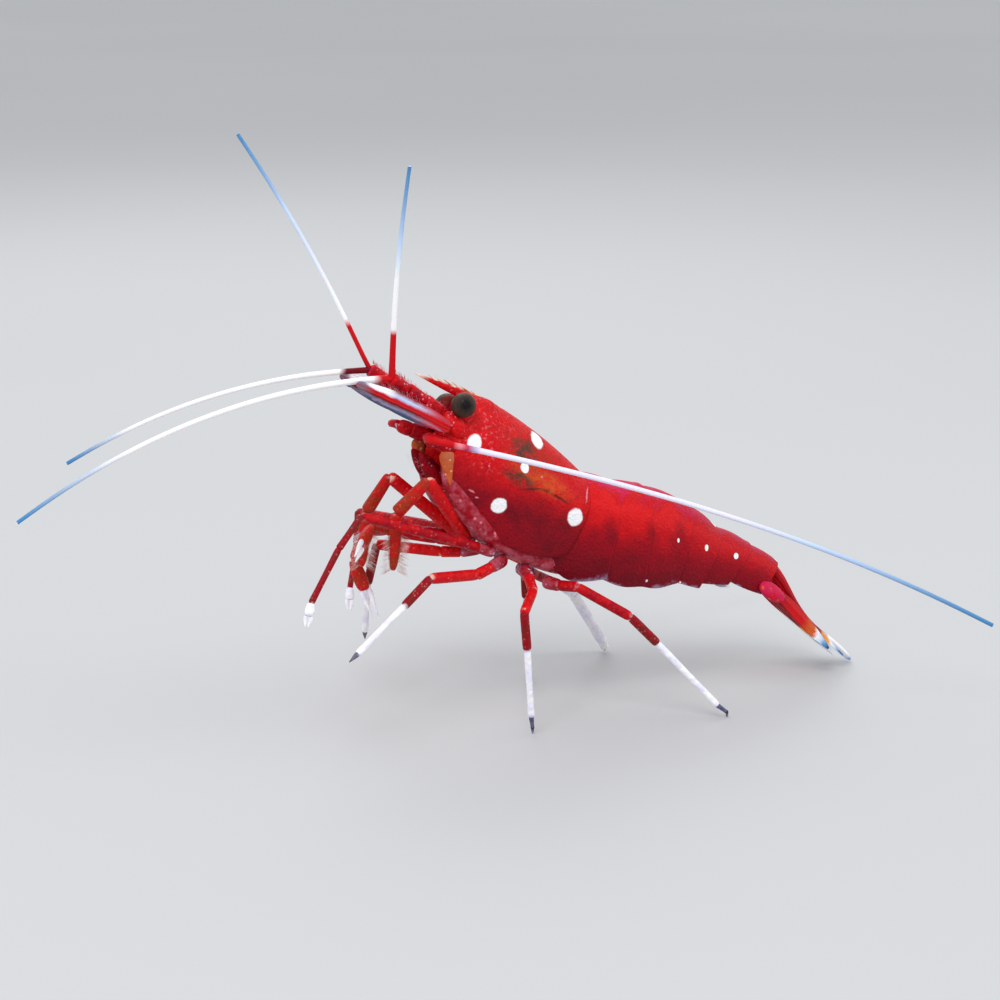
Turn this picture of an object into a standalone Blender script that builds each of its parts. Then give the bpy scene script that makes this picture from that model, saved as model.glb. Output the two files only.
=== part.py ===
"""Fire cleaner shrimp (Lysmata debelius), life size, standing with its head raised.

The head points to -X, the animal's left is -Y and the floor is Z = 0.  The sizes below are in
millimetres and become metres where a mesh or curve is made.  The carapace, the abdomen's six
rings and the tail fan are lofted plates, and the legs and feelers are tubes on bent chains.
"""

import math
from dataclasses import dataclass

import bmesh
import bpy
from mathutils import Vector

NAME = "cleaner_shrimp"
MM = 0.001
GAP = 0.3                    # clearance between neighbouring solids
SIDES = {"L": -1.0, "R": 1.0}
Y_AXIS, Z_AXIS = Vector((0.0, 1.0, 0.0)), Vector((0.0, 0.0, 1.0))

# Carapace, in a frame that starts inside its front opening and slopes down to the tail.
CARAPACE_FRONT = Vector((-11.5, 0.0, 22.0))
CARAPACE_PITCH = math.radians(32.0)
CARAPACE_BACK = 10.75        # dorsal midline, from the frame's start to the rear margin
CARAPACE_EAVES = -2.0        # where the dorsal midline starts, ahead of the frame
CARAPACE_LOWER = (3.9, 11.25)
CARAPACE_HALF_WIDTHS = (3.0, 4.15, 3.9)
CARAPACE_FRONT_BOW = 2.8     # how far the cheeks reach ahead of the front's ends
CARAPACE_REAR_BOW = 0.3
ORBIT_DEPTH = 0.95           # notch over the eye in the front margin
SHELL = 0.7
THORAX_FLOOR = -4.3          # level of the breast between the legs
FLANK_TUCK = 0.10            # how much the flanks draw in towards the lower margin

# Rostrum: a thin toothed blade over the eyes.
ROSTRUM_BASE = Vector((-10.95, 0.0, 27.15))
ROSTRUM_LENGTH = 4.3
ROSTRUM_PITCH = math.radians(21.5)
ROSTRUM_BASE_HEIGHT = 0.85
ROSTRUM_THICKNESS = 0.6
ROSTRUM_TEETH = 4
ROSTRUM_TOOTH = 0.28

# Eyes, antennules and antennae, as their left and right copies mirror each other.
EYE_CENTRE = Vector((-11.87, 2.5, 26.6))
EYE_RADIUS = 0.98
EYESTALK_RADIUS = 0.42
EYESTALK_LENGTH = 1.5
EYE_TURN = math.radians(12.0)
ANTENNULE_BASE = Vector((-12.75, 1.3, 25.45))
ANTENNULE_END = Vector((-17.8, 2.2, 29.2))
ANTENNULE_RADII = (0.62, 0.76, 0.66, 0.72, 0.58, 0.62, 0.48)
ANTENNA_BASE = Vector((-13.6, 2.6, 23.7))
ANTENNA_BASE_END = Vector((-14.9, 2.9, 24.25))
ANTENNA_BASE_RADII = (0.6, 0.78, 0.72, 0.5)
ANTENNA_HOOK_START = Vector((-15.4, 2.95, 24.5))
ANTENNA_HOOK_LENGTH = 2.9
SCALE_BASE = Vector((-13.1, 3.2, 25.0))
SCALE_TIPS = {"L": Vector((-21.6, -3.65, 29.95)), "R": Vector((-20.2, 5.2, 28.9))}
SCALE_HALF_WIDTH = 1.05
SCALE_THICKNESS = 0.5
SCALE_LEAN = 0.28            # outward share of the scale's downward width
MOUTHPART_BASE = Vector((-13.75, 0.95, 20.5))
MOUTHPART_TIP = Vector((-15.45, 1.3, 22.9))

# Abdomen: each plate runs from one hoop to the next.
PLEURON = 0.6
BELLY_SHARE = 0.78           # share of a hoop's depth at which the belly lies
BELLY_SAG = 0.04
PLEURA_LOBES = (0.15, 0.35, 0.45, 0.45, 0.45, 0.1)
DORSAL_ARCHES = (0.10, 0.12, 0.30, 0.28, 0.22, 0.15)
PADDLE_LENGTH = 2.5
PADDLE_HALF_WIDTH = 0.75
PADDLE_HALF_THICKNESS = 0.34

# Tail fan: the telson bends in steps, and the side blades lie beside it.
TELSON_START = Vector((18.85, 0.0, 9.05))
TELSON_STEPS = ((2.0, -60), (2.0, -54), (2.6, -47), (2.3, -35), (2.4, -40), (0.7, -48))
TELSON_HALF_WIDTHS = (1.15, 1.45, 1.3, 1.1, 0.9, 0.7, 0.4)
TELSON_HALF_DEPTHS = (0.75, 0.64, 0.42, 0.34, 0.3, 0.28, 0.25)
ENDOPOD = (Vector((18.30, 1.55, 6.75)), Vector((25.20, 1.55, 0.78)), 0.75, 35.0)
EXOPOD = (Vector((17.80, 2.35, 7.60)), Vector((22.75, 3.00, 2.20)), 0.9, 60.0)
TUCKED_EXOPOD = (Vector((18.30, 2.25, 7.95)), Vector((24.20, 2.45, 2.35)))   # the right one
FAN_HALF_THICKNESS = 0.25

FEELER_RADIUS = 0.25
FOOT_RADIUS = 0.25
TUBE_RESOLUTION = 2
LONG_PIECE = 2.6             # limb pieces longer than this keep their width to near the joints
FEELER_STEP = 2.8

RED = (0.42, 0.004, 0.008)
DEEP_RED = (0.20, 0.004, 0.006)
ORANGE_RED = (0.55, 0.045, 0.012)
WHITE = (0.85, 0.84, 0.88)
EYE_OLIVE = (0.05, 0.045, 0.02)
TAIL_TIP_RED = (0.35, 0.01, 0.015)


@dataclass(frozen=True)
class Feeler:
    """A whip that bends evenly: length, then first and last heading and pitch in degrees."""

    start: Vector
    length: float
    headings: tuple
    pitches: tuple
    bend_power: float = 1.0


@dataclass(frozen=True)
class LimbKind:
    """A limb's shape: where it leaves the body, its pieces' lengths and its radii.

    The root is (back, out, up) in the carapace's frame.  The pieces are split at the knee.
    """

    root: tuple
    upper: tuple
    lower: tuple
    upper_radii: tuple
    lower_radii: tuple


FEELERS = {
    "antennule_inner_L": Feeler(Vector((-17.8, -2.28, 30.0)), 16.5, (80, 120), (82, 79)),
    "antennule_inner_R": Feeler(Vector((-18.25, 2.4, 30.0)), 20.6, (35, 35), (66, 55)),
    "antennule_outer_L": Feeler(Vector((-18.6, -2.4, 29.35)), 34.0, (10, 18), (3, -26)),
    "antennule_outer_R": Feeler(Vector((-18.6, 2.4, 29.2)), 24.8, (8, 18), (1, -32)),
}
FEELER_ROOT_RADIUS = 0.3

ANTENNA_HOOKS = {"L": ((60, 172), (4, -14)), "R": ((60, 172), (0, -28))}
ANTENNA_SWEEPS = {
    "L": (48.0, (170, 155), (-14.9, -27.9), 1.5),
    "R": (47.5, (168, 155), (-28.0, -19.5), 1.0),
}
ANTENNA_SPLIT = 0.4          # share of the sweep at which an antenna is cut in two

LIMBS = {
    "maxilliped": LimbKind((3.2, 1.5, -5.05), (7.0,), (3.6, 4.7),
                           (0.42, 0.48), (0.40, 0.56, 0.42)),
    "leg_1": LimbKind((4.75, 1.35, -5.3), (1.3, 1.8, 4.2), (3.4, 4.9),
                      (0.40, 0.40, 0.38, 0.34), (0.32, 0.38, 0.27)),
    "leg_2": LimbKind((6.1, 2.5, -5.3), (1.6, 2.4, 10.0), (3.2, 4.8, 1.9),
                      (0.42, 0.40, 0.36, 0.32), (0.30, 0.32, 0.27, 0.25)),
    "leg_3": LimbKind((7.4, 2.3, -5.4), (1.7, 1.6, 5.4), (3.4, 5.8, 1.0),
                      (0.52, 0.44, 0.44, 0.40), (0.36, 0.36, 0.30, 0.25)),
    "leg_4": LimbKind((9.4, 2.35, -5.3), (1.5, 1.7, 4.0), (3.3, 5.9, 1.2),
                      (0.56, 0.44, 0.44, 0.40), (0.36, 0.36, 0.30, 0.25)),
    "leg_5": LimbKind((11.7, 2.4, -5.35), (1.4, 1.7, 5.0), (3.3, 7.5, 1.1),
                      (0.54, 0.44, 0.44, 0.40), (0.36, 0.36, 0.30, 0.25)),
}

# Each piece's heading (0 forward, 90 outward, 180 back) and pitch in degrees.
POSES = {
    "maxilliped_L": ((32, 47), (-17, -45), (-12, -86)),
    "maxilliped_R": ((-5, 41), (43, -57), (26, -84)),
    "leg_1_L": ((-15, 2), (-20, 10), (-12, 12), (43, 16), (53, -16)),
    "leg_1_R": ((25, 6), (26, 6), (27, 8), (-2, -58), (-132, -67)),
    "leg_2_L": ((9, 22), (14, 22), (14, 20), (19, -43), (17, -54), (21, -74)),
    "leg_2_R": ((30, 14), (72, 9), (75, -4), (-64, -43), (-59, -39), (-62, -60)),
    "leg_3_L": ((27, -11), (21, -11), (21, 7), (23, -29), (20, -30), (23, -27)),
    "leg_3_R": ((14, -10), (19, 2), (19, 8), (4, -76), (107, -58), (112, -55)),
    "leg_4_L": ((81, -11), (79, -29), (54, -11), (-137, -78), (-144, -83), (-127, -64)),
    "leg_4_R": ((131, -8), (131, -12), (135, -22), (159, -86), (162, -88), (150, -73)),
    "leg_5_L": ((125, -6), (122, 4), (142, -27), (169, -46), (161, -47), (175, -38)),
    "leg_5_R": ((150, -20), (137, -24), (145, -24), (136, -24), (147, -47), (147, -55)),
}
STANDING = ("leg_4_L", "leg_4_R", "leg_5_L", "leg_5_R")


def clear_scene():
    """Remove every object of the open file."""
    for thing in list(bpy.data.objects):
        bpy.data.objects.remove(thing, do_unlink=True)


def finish(name, colour, roughness=0.35):
    """Return a Principled material of one plain colour."""
    material = bpy.data.materials.new(name)
    material.use_nodes = True
    shader = material.node_tree.nodes["Principled BSDF"]
    shader.inputs["Base Color"].default_value = (*colour, 1.0)
    shader.inputs["Roughness"].default_value = roughness
    return material


def mirrored(point, side):
    """Return a copy of a right-hand point on the given side."""
    return Vector((point.x, point.y * side, point.z))


def mix(first, last, share):
    """Return the value at a share of the way from first to last."""
    return first + (last - first) * share


def on_carapace(back, out, up):
    """Return the world point at a place in the carapace's frame."""
    cosine, sine = math.cos(CARAPACE_PITCH), math.sin(CARAPACE_PITCH)
    return CARAPACE_FRONT + Vector((back * cosine + up * sine, out, up * cosine - back * sine))


def direction(heading, pitch, side):
    """Return the unit vector of a heading and pitch in degrees, mirrored for the side."""
    turn, rise = math.radians(heading), math.radians(pitch)
    return Vector((-math.cos(rise) * math.cos(turn),
                   side * math.cos(rise) * math.sin(turn),
                   math.sin(rise)))


class Model:
    """Keeps the object's parts together under one empty that stands on the floor."""

    def __init__(self, name):
        """Make the collection for the parts and the empty that carries them."""
        self.collection = bpy.data.collections.new(name)
        bpy.context.scene.collection.children.link(self.collection)
        self.stand = bpy.data.objects.new(name + "_stand", None)
        self.collection.objects.link(self.stand)

    def add(self, name, data, colour, roughness=0.35):
        """Link an object for a mesh or curve, with its own material."""
        thing = bpy.data.objects.new(name, data)
        data.materials.append(finish(name, colour, roughness))
        thing.parent = self.stand
        self.collection.objects.link(thing)
        return thing

    def centre_on_floor(self):
        """Move the empty so that the middle of the parts' box is over the origin."""
        bpy.context.view_layer.update()
        depsgraph = bpy.context.evaluated_depsgraph_get()
        corners = []
        for thing in self.collection.objects:
            if thing.type != "EMPTY":
                evaluated = thing.evaluated_get(depsgraph)
                mesh = evaluated.to_mesh()
                corners += [evaluated.matrix_world @ vertex.co for vertex in mesh.vertices]
                evaluated.to_mesh_clear()
        for axis in (0, 1):
            values = [corner[axis] for corner in corners]
            self.stand.location[axis] = -(min(values) + max(values)) / 2.0


def to_mesh(name, build):
    """Return a mesh in metres from a bmesh that is in millimetres."""
    bmesh.ops.recalc_face_normals(build, faces=build.faces)
    bmesh.ops.scale(build, vec=(MM, MM, MM), verts=build.verts)
    mesh = bpy.data.meshes.new(name)
    build.to_mesh(mesh)
    build.free()
    mesh.shade_smooth()
    mesh.set_sharp_from_angle(angle=math.radians(50.0))
    return mesh


def loft(name, rings):
    """Return a closed mesh through rings of equal length, capped at both ends."""
    build = bmesh.new()
    rows = [[build.verts.new(point) for point in ring] for ring in rings]
    count = len(rows[0])
    for near, far in zip(rows, rows[1:]):
        for index in range(count):
            after = (index + 1) % count
            build.faces.new((near[index], near[after], far[after], far[index]))
    build.faces.new(rows[0])
    build.faces.new(rows[-1])
    return to_mesh(name, build)


def loft_shell(name, outer_rings, inner_rings):
    """Return a closed mesh between an outer and an inner arch, open towards the belly."""
    build = bmesh.new()
    outer = [[build.verts.new(point) for point in ring] for ring in outer_rings]
    inner = [[build.verts.new(point) for point in ring] for ring in inner_rings]
    last = len(outer[0]) - 1
    for rows in (outer, inner):
        for near, far in zip(rows, rows[1:]):
            for index in range(last):
                build.faces.new((near[index], near[index + 1], far[index + 1], far[index]))
    for edge in (0, last):
        for row in range(len(outer) - 1):
            build.faces.new((outer[row][edge], outer[row + 1][edge],
                             inner[row + 1][edge], inner[row][edge]))
    for row in (0, -1):
        for index in range(last):
            build.faces.new((outer[row][index], outer[row][index + 1],
                             inner[row][index + 1], inner[row][index]))
    return to_mesh(name, build)


def tube(name, points, radii):
    """Return a capped tube curve through the points, with a radius at each."""
    curve = bpy.data.curves.new(name, "CURVE")
    curve.dimensions = "3D"
    curve.bevel_depth = MM
    curve.bevel_resolution = TUBE_RESOLUTION
    curve.use_fill_caps = True
    spline = curve.splines.new("POLY")
    spline.points.add(len(points) - 1)
    for knot, point, radius in zip(spline.points, points, radii):
        knot.co = (*(point * MM), 1.0)
        knot.radius = radius
    return curve


@dataclass(frozen=True)
class Hoop:
    """A cross-section of the trunk: an arch from one lower edge over the back to the other."""

    top: Vector
    low: Vector
    half_width: float
    bow: float = 0.0
    orbit: float = 0.0

    def point(self, place, inset=0.0):
        """Return the point at a place from -1 (left edge) over 0 (back) to 1 (right edge)."""
        down = (self.low - self.top).normalized()
        top = self.top + down * inset
        width = self.half_width - inset
        depth = (self.low - top).length
        crown = min(0.6, width / depth)
        lift = min(abs(place) / 0.5, 1.0) * math.pi / 2.0
        flank = max(abs(place) - 0.5, 0.0) / 0.5
        share = crown * (1.0 - math.cos(lift)) + (1.0 - crown) * flank
        out = width * (math.sin(lift) - FLANK_TUCK * flank ** 2)
        lean = self.bow * math.sin(math.pi * share ** 1.1)
        lean -= self.orbit * math.exp(-((share - 0.12) / 0.06) ** 2)
        forward = Vector((down.z, 0.0, -down.x))
        return top.lerp(self.low, share) + forward * lean + Y_AXIS * math.copysign(out, place)

    def arch(self, steps, inset=0.0):
        """Return evenly placed points along the whole arch."""
        return [self.point(2.0 * step / steps - 1.0, inset) for step in range(steps + 1)]


def carapace_height(back):
    """Return how high the carapace's midline lies over its frame's axis."""
    return 5.2 - 0.0098 * back ** 2


def carapace_margin(back):
    """Return how low the carapace's lower margin lies, rising at its rear corner."""
    return -4.5 + 0.005 * max(back - CARAPACE_LOWER[0], 0.0) ** 3


def carapace_hoop(share):
    """Return the carapace's cross-section at a share of its length."""
    back = mix(CARAPACE_EAVES, CARAPACE_BACK, share)
    below = mix(*CARAPACE_LOWER, share)
    front, middle, rear = CARAPACE_HALF_WIDTHS
    swell = math.sin(min(share / 0.5, 1.0) * math.pi / 2.0)
    width = mix(front, middle, swell) - (middle - rear) * max(share / 0.5 - 1.0, 0.0) ** 2
    return Hoop(on_carapace(back, 0.0, carapace_height(back)),
                on_carapace(below, 0.0, carapace_margin(below)),
                width,
                mix(CARAPACE_FRONT_BOW, CARAPACE_REAR_BOW, share ** 0.7),
                ORBIT_DEPTH * max(1.0 - share / 0.25, 0.0))


def abdomen_hoops():
    """Return the hoops at both ends of each abdominal plate, from the carapace back."""
    return (Hoop(Vector((0.10, 0.0, 19.75)), Vector((-2.90, 0.0, 11.2)), 3.75, 0.9),
            Hoop(Vector((2.50, 0.0, 18.77)), Vector((0.35, 0.0, 11.0)), 3.95, 0.3),
            Hoop(Vector((5.30, 0.0, 18.13)), Vector((3.95, 0.0, 10.0)), 3.9, -0.3),
            Hoop(Vector((9.55, 0.0, 16.23)), Vector((7.30, 0.0, 9.9)), 3.5, -0.2),
            Hoop(Vector((12.70, 0.0, 13.80)), Vector((9.90, 0.0, 9.4)), 3.0, -0.1),
            Hoop(Vector((15.80, 0.0, 12.10)), Vector((12.95, 0.0, 9.2)), 2.5, -0.1),
            Hoop(Vector((18.95, 0.0, 10.05)), Vector((16.50, 0.0, 7.5)), 2.05, 0.0))


def make_carapace(model):
    """Add the carapace, a thick shell that is open in front, behind and below."""
    shares = (0.0, 0.05, 0.12, 0.2, 0.3, 0.4, 0.5, 0.6, 0.7, 0.8, 0.88, 0.95, 1.0)
    hoops = [carapace_hoop(share) for share in shares]
    steps = 16
    mesh = loft_shell("carapace", [hoop.arch(steps) for hoop in hoops],
                      [hoop.arch(steps, SHELL) for hoop in hoops])
    model.add("carapace", mesh, RED)


def core_ring(hoop, inset, keel):
    """Return a closed ring inside a hoop, with a keeled underside."""
    steps = 10
    arch = hoop.arch(steps, inset)
    down = (hoop.low - hoop.top).normalized()
    left, right = arch[0], arch[-1]
    under = [right.lerp(left, share) + down * keel * math.sin(math.pi * share)
             for share in (0.25, 0.5, 0.75)]
    return arch + under


def make_thorax(model):
    """Add the breast that fills the carapace and carries the legs."""
    rings = []
    for step in range(5):
        share = mix(0.16, 0.975, step / 4.0)
        hoop = carapace_hoop(share)
        below = mix(*CARAPACE_LOWER, share) + share
        low = on_carapace(below, 0.0, min(carapace_margin(below), THORAX_FLOOR))
        rings.append(core_ring(Hoop(hoop.top, low, hoop.half_width - 0.15, hoop.bow), SHELL + GAP, 0.2))
    model.add("thorax", loft("thorax", rings), DEEP_RED, 0.45)


def make_head(model):
    """Add the face that closes the carapace's front, below the eyes."""
    inner = carapace_hoop(0.10)
    edge = carapace_hoop(0.0)
    brow = Hoop(on_carapace(-2.2, 0.0, 4.0), on_carapace(3.0, 0.0, -3.9), 2.9, 2.4)
    face = Hoop(on_carapace(-2.3, 0.0, 2.9), on_carapace(2.6, 0.0, -3.6), 2.6, 1.5)
    rings = [core_ring(inner, SHELL + GAP, 0.2), core_ring(edge, SHELL + GAP, 0.2),
             core_ring(brow, SHELL + GAP, 0.2), core_ring(face, SHELL + GAP, 0.2)]
    model.add("head", loft("head", rings), DEEP_RED, 0.45)


def make_rostrum(model):
    """Add the rostrum, a flat toothed blade that points forward and up."""
    outline = [Vector((0.0, 0.0)), Vector((ROSTRUM_LENGTH, ROSTRUM_BASE_HEIGHT * 0.55))]
    for tooth in reversed(range(ROSTRUM_TEETH)):
        share = (tooth + 0.5) / (ROSTRUM_TEETH + 0.5)
        along = ROSTRUM_LENGTH * share
        ridge = ROSTRUM_BASE_HEIGHT * mix(1.0, 0.62, share)
        outline += [Vector((along + 0.5, ridge + ROSTRUM_TOOTH)), Vector((along, ridge))]
    outline.append(Vector((0.0, ROSTRUM_BASE_HEIGHT)))
    curve = bpy.data.curves.new("rostrum", "CURVE")
    curve.dimensions = "2D"
    curve.fill_mode = "BOTH"
    curve.extrude = ROSTRUM_THICKNESS / 2.0 * MM
    spline = curve.splines.new("POLY")
    spline.points.add(len(outline) - 1)
    spline.use_cyclic_u = True
    for knot, corner in zip(spline.points, outline):
        knot.co = (corner.x * MM, corner.y * MM, 0.0, 1.0)
    rostrum = model.add("rostrum", curve, RED)
    rostrum.location = (ROSTRUM_BASE - Z_AXIS * ROSTRUM_BASE_HEIGHT / 2.0) * MM
    rostrum.rotation_euler = (math.pi / 2.0, -ROSTRUM_PITCH, math.pi)


def make_eyes(model):
    """Add each eye with its stalk as one turned shape that looks outward."""
    meridian = 8
    neck = math.asin(EYESTALK_RADIUS / EYE_RADIUS)
    profile = [(0.0, -EYESTALK_LENGTH), (EYESTALK_RADIUS, -EYESTALK_LENGTH)]
    for step in range(meridian + 1):
        angle = mix(neck, math.pi, step / meridian)
        profile.append((EYE_RADIUS * math.sin(angle), -EYE_RADIUS * math.cos(angle)))
    profile[-1] = (0.0, EYE_RADIUS)
    for letter, side in SIDES.items():
        build = bmesh.new()
        knots = [build.verts.new((radius, 0.0, height)) for radius, height in profile]
        for low, high in zip(knots, knots[1:]):
            build.edges.new((low, high))
        bmesh.ops.spin(build, geom=build.verts[:] + build.edges[:], axis=Z_AXIS,
                       cent=(0.0, 0.0, 0.0), steps=16, angle=2.0 * math.pi, use_merge=True)
        bmesh.ops.remove_doubles(build, verts=build.verts, dist=0.001)
        eye = model.add("eye_" + letter, to_mesh("eye_" + letter, build), EYE_OLIVE, 0.15)
        aim = Vector((-math.sin(EYE_TURN), side * math.cos(EYE_TURN), math.sin(EYE_TURN)))
        eye.rotation_mode = "QUATERNION"
        eye.rotation_quaternion = aim.to_track_quat("Z", "Y")
        eye.location = mirrored(EYE_CENTRE, side) * MM


def make_antennule_stems(model):
    """Add the three-jointed stems that carry the antennules' whips."""
    for letter, side in SIDES.items():
        base, end = mirrored(ANTENNULE_BASE, side), mirrored(ANTENNULE_END, side)
        last = len(ANTENNULE_RADII) - 1
        points = [base.lerp(end, step / last) for step in range(last + 1)]
        name = "antennule_" + letter
        model.add(name, tube(name, points, ANTENNULE_RADII), ORANGE_RED)


def whip_points(feeler, side, spacing):
    """Return points along a feeler, bending evenly from its first to its last direction."""
    steps = max(3, round(feeler.length / spacing))
    points = [feeler.start.copy()]
    for step in range(steps):
        share = (step + 0.5) / steps
        heading = mix(*feeler.headings, share)
        pitch = mix(*feeler.pitches, share ** feeler.bend_power)
        points.append(points[-1] + direction(heading, pitch, side) * feeler.length / steps)
    return points


def make_antennules(model):
    """Add the four whips of the antennules, thicker where they leave the stem."""
    for name, feeler in FEELERS.items():
        side = SIDES[name[-1]]
        points = whip_points(feeler, side, FEELER_STEP)
        radii = [max(FEELER_RADIUS, mix(FEELER_ROOT_RADIUS, FEELER_RADIUS, step / 2.0))
                 for step in range(len(points))]
        model.add(name, tube(name, points, radii), WHITE)


def make_antennae(model):
    """Add both antennae: a stem, a hook that turns back and a long whip in two lengths."""
    for letter, side in SIDES.items():
        base, end = mirrored(ANTENNA_BASE, side), mirrored(ANTENNA_BASE_END, side)
        last = len(ANTENNA_BASE_RADII) - 1
        points = [base.lerp(end, step / last) for step in range(last + 1)]
        name = "antenna_stem_" + letter
        model.add(name, tube(name, points, ANTENNA_BASE_RADII), RED)

        headings, pitches = ANTENNA_HOOKS[letter]
        hook = Feeler(mirrored(ANTENNA_HOOK_START, side), ANTENNA_HOOK_LENGTH, headings, pitches)
        bend = whip_points(hook, side, 0.5)
        length, headings, pitches, power = ANTENNA_SWEEPS[letter]
        sweep = whip_points(Feeler(bend[-1], length, headings, pitches, power), side, FEELER_STEP)
        cut = round(ANTENNA_SPLIT * len(sweep))
        near = bend + sweep[1:cut + 1]
        ahead = (sweep[cut + 1] - sweep[cut]).normalized()
        far = [sweep[cut] + ahead * GAP] + sweep[cut + 1:]
        near_radii = [mix(0.31, 0.28, step / (len(near) - 1)) for step in range(len(near))]
        far_radii = [mix(0.28, FEELER_RADIUS, step / (len(far) - 1)) for step in range(len(far))]
        name = "antenna_" + letter
        model.add(name, tube(name, near, near_radii), WHITE)
        name = "antenna_tip_" + letter
        model.add(name, tube(name, far, far_radii), WHITE)


def leaf(name, base, tip, across, half_width, half_thickness):
    """Return a leaf-shaped blade from base to tip, its width along a given direction."""
    along = (tip - base).normalized()
    across = (across - along * across.dot(along)).normalized()
    normal = along.cross(across)
    if normal.z < 0.0:
        normal.negate()
    corners = 8
    rings = []
    for share in (0.0, 0.15, 0.35, 0.6, 0.82, 1.0):
        centre = base.lerp(tip, share)
        spread = half_width * max(math.sin(math.pi * (0.14 + 0.8 * share) ** 0.85), 0.0) ** 0.7
        depth = half_thickness * mix(1.0, 0.85, share)
        rings.append([centre
                      + across * spread * math.cos(2.0 * math.pi * corner / corners)
                      + normal * depth * math.sin(2.0 * math.pi * corner / corners)
                      for corner in range(corners)])
    return loft(name, rings)


def make_antennal_scales(model):
    """Add the blade that lies outside each antennule, thin edge down and out."""
    for letter, side in SIDES.items():
        across = Vector((0.0, side * SCALE_LEAN, -1.0))
        name = "antennal_scale_" + letter
        mesh = leaf(name, mirrored(SCALE_BASE, side), SCALE_TIPS[letter], across,
                    SCALE_HALF_WIDTH, SCALE_THICKNESS / 2.0)
        model.add(name, mesh, ORANGE_RED)


def make_mouthparts(model):
    """Add the lobed plate that stands before the mouth on each side."""
    for letter, side in SIDES.items():
        name = "mouthpart_" + letter
        mesh = leaf(name, mirrored(MOUTHPART_BASE, side), mirrored(MOUTHPART_TIP, side),
                    Vector((-0.6, 0.0, -0.8)), 0.7, 0.3)
        model.add(name, mesh, DEEP_RED)


def chain(start, pieces, side):
    """Return the joints of a chain of (length, (heading, pitch)) pieces."""
    joints = [start]
    for length, (heading, pitch) in pieces:
        joints.append(joints[-1] + direction(heading, pitch, side) * length)
    return joints


def limb_tube(name, joints, radii):
    """Return a tube that is a little thinner at each joint than in the pieces between."""
    neck = 0.86
    points, sizes = [], []
    last = len(joints) - 1
    for index, (joint, radius) in enumerate(zip(joints, radii)):
        points.append(joint)
        sizes.append(radius * (neck if 0 < index < last else 1.0))
        if index < last:
            after = joints[index + 1]
            for share in (0.2, 0.8) if (after - joint).length > LONG_PIECE else (0.5,):
                points.append(joint.lerp(after, share))
                sizes.append(mix(radius, radii[index + 1], share))
    return tube(name, points, sizes)


def make_limbs(model):
    """Add the third maxillipeds and the five pairs of legs, each cut in two at its knee."""
    for kind_name, kind in LIMBS.items():
        for letter, side in SIDES.items():
            limb = "{}_{}".format(kind_name, letter)
            back, out, up = kind.root
            root = on_carapace(back, out * side, up)
            angles = POSES[limb]
            bend = len(kind.upper)
            upper = chain(root, zip(kind.upper, angles[:bend]), side)
            lower = chain(upper[-1], zip(kind.lower, angles[bend:]), side)
            radii = list(kind.lower_radii)
            if limb in STANDING:
                foot = Vector((lower[-1].x, lower[-1].y, 0.0))
                lower.append(foot)
                radii.append(FOOT_RADIUS)
            step = direction(*angles[bend], side)
            lower[0] = lower[0] + step * knee_gap(angles, bend, side, kind)
            upper_name = "{}_upper_{}".format(kind_name, letter)
            lower_name = "{}_lower_{}".format(kind_name, letter)
            model.add(upper_name, limb_tube(upper_name, upper, kind.upper_radii), RED)
            model.add(lower_name, limb_tube(lower_name, lower, radii), WHITE)


def knee_gap(angles, bend, side, kind):
    """Return how far past the knee the lower tube starts, so that its rim stays clear."""
    above = direction(*angles[bend - 1], side)
    below = direction(*angles[bend], side)
    turn = above.angle(below)
    return GAP * 1.4 + kind.lower_radii[0] * math.tan(turn / 2.0)


def plate_hoop(front, rear, share, arch, lobe):
    """Return an abdominal plate's hoop, raised over the back and drawn down at its lobes."""
    rise = math.sin(math.pi * share)
    top = front.top.lerp(rear.top, share)
    low = front.low.lerp(rear.low, share)
    down = (low - top).normalized()
    return Hoop(top - down * arch * rise, low + down * lobe * rise,
                mix(front.half_width, rear.half_width, share) + 0.08 * rise,
                mix(front.bow, rear.bow, share))


def belly_line(hoop, steps):
    """Return the inner line of a plate: up the pleura's inside and across the belly."""
    wall = 0.7
    sheer = Hoop(hoop.top, hoop.low, hoop.half_width, hoop.bow)
    points = []
    for step in range(steps + 1):
        place = 2.0 * step / steps - 1.0
        reach = abs(place)
        depth = BELLY_SHARE if reach <= wall else mix(BELLY_SHARE, 1.0, (reach - wall) / (1.0 - wall))
        if reach <= wall:
            depth += BELLY_SAG * (1.0 - (reach / wall) ** 2)
        crown = min(0.6, sheer.half_width / (sheer.low - sheer.top).length)
        flank = max((depth - crown) / (1.0 - crown), 0.0)
        edge = sheer.point(math.copysign(0.5 + 0.5 * flank, place))
        room = abs(edge.y) - PLEURON
        out = room * min(reach / wall, 1.0)
        points.append(Vector((edge.x, math.copysign(out, place), edge.z)))
    return points


def paddle_mesh(name, front, rear, side):
    """Return one swimming paddle, folded back under its plate."""
    root = front.top.lerp(front.low, BELLY_SHARE)
    end = rear.top.lerp(rear.low, BELLY_SHARE)
    back = (end - root).normalized()
    down = (front.low - front.top).normalized()
    out = 0.42 * front.half_width * side
    base = root + back * 0.5 - down * 0.15 + Y_AXIS * out
    tip = base + (back * 0.86 + down * 0.42).normalized() * PADDLE_LENGTH
    reach = (end - root).length - 0.8
    if (tip - base).dot(back) > reach:
        tip = base + (tip - base) * (reach / (tip - base).dot(back))
    return leaf(name, base, tip, Y_AXIS, PADDLE_HALF_WIDTH, PADDLE_HALF_THICKNESS)


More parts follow.
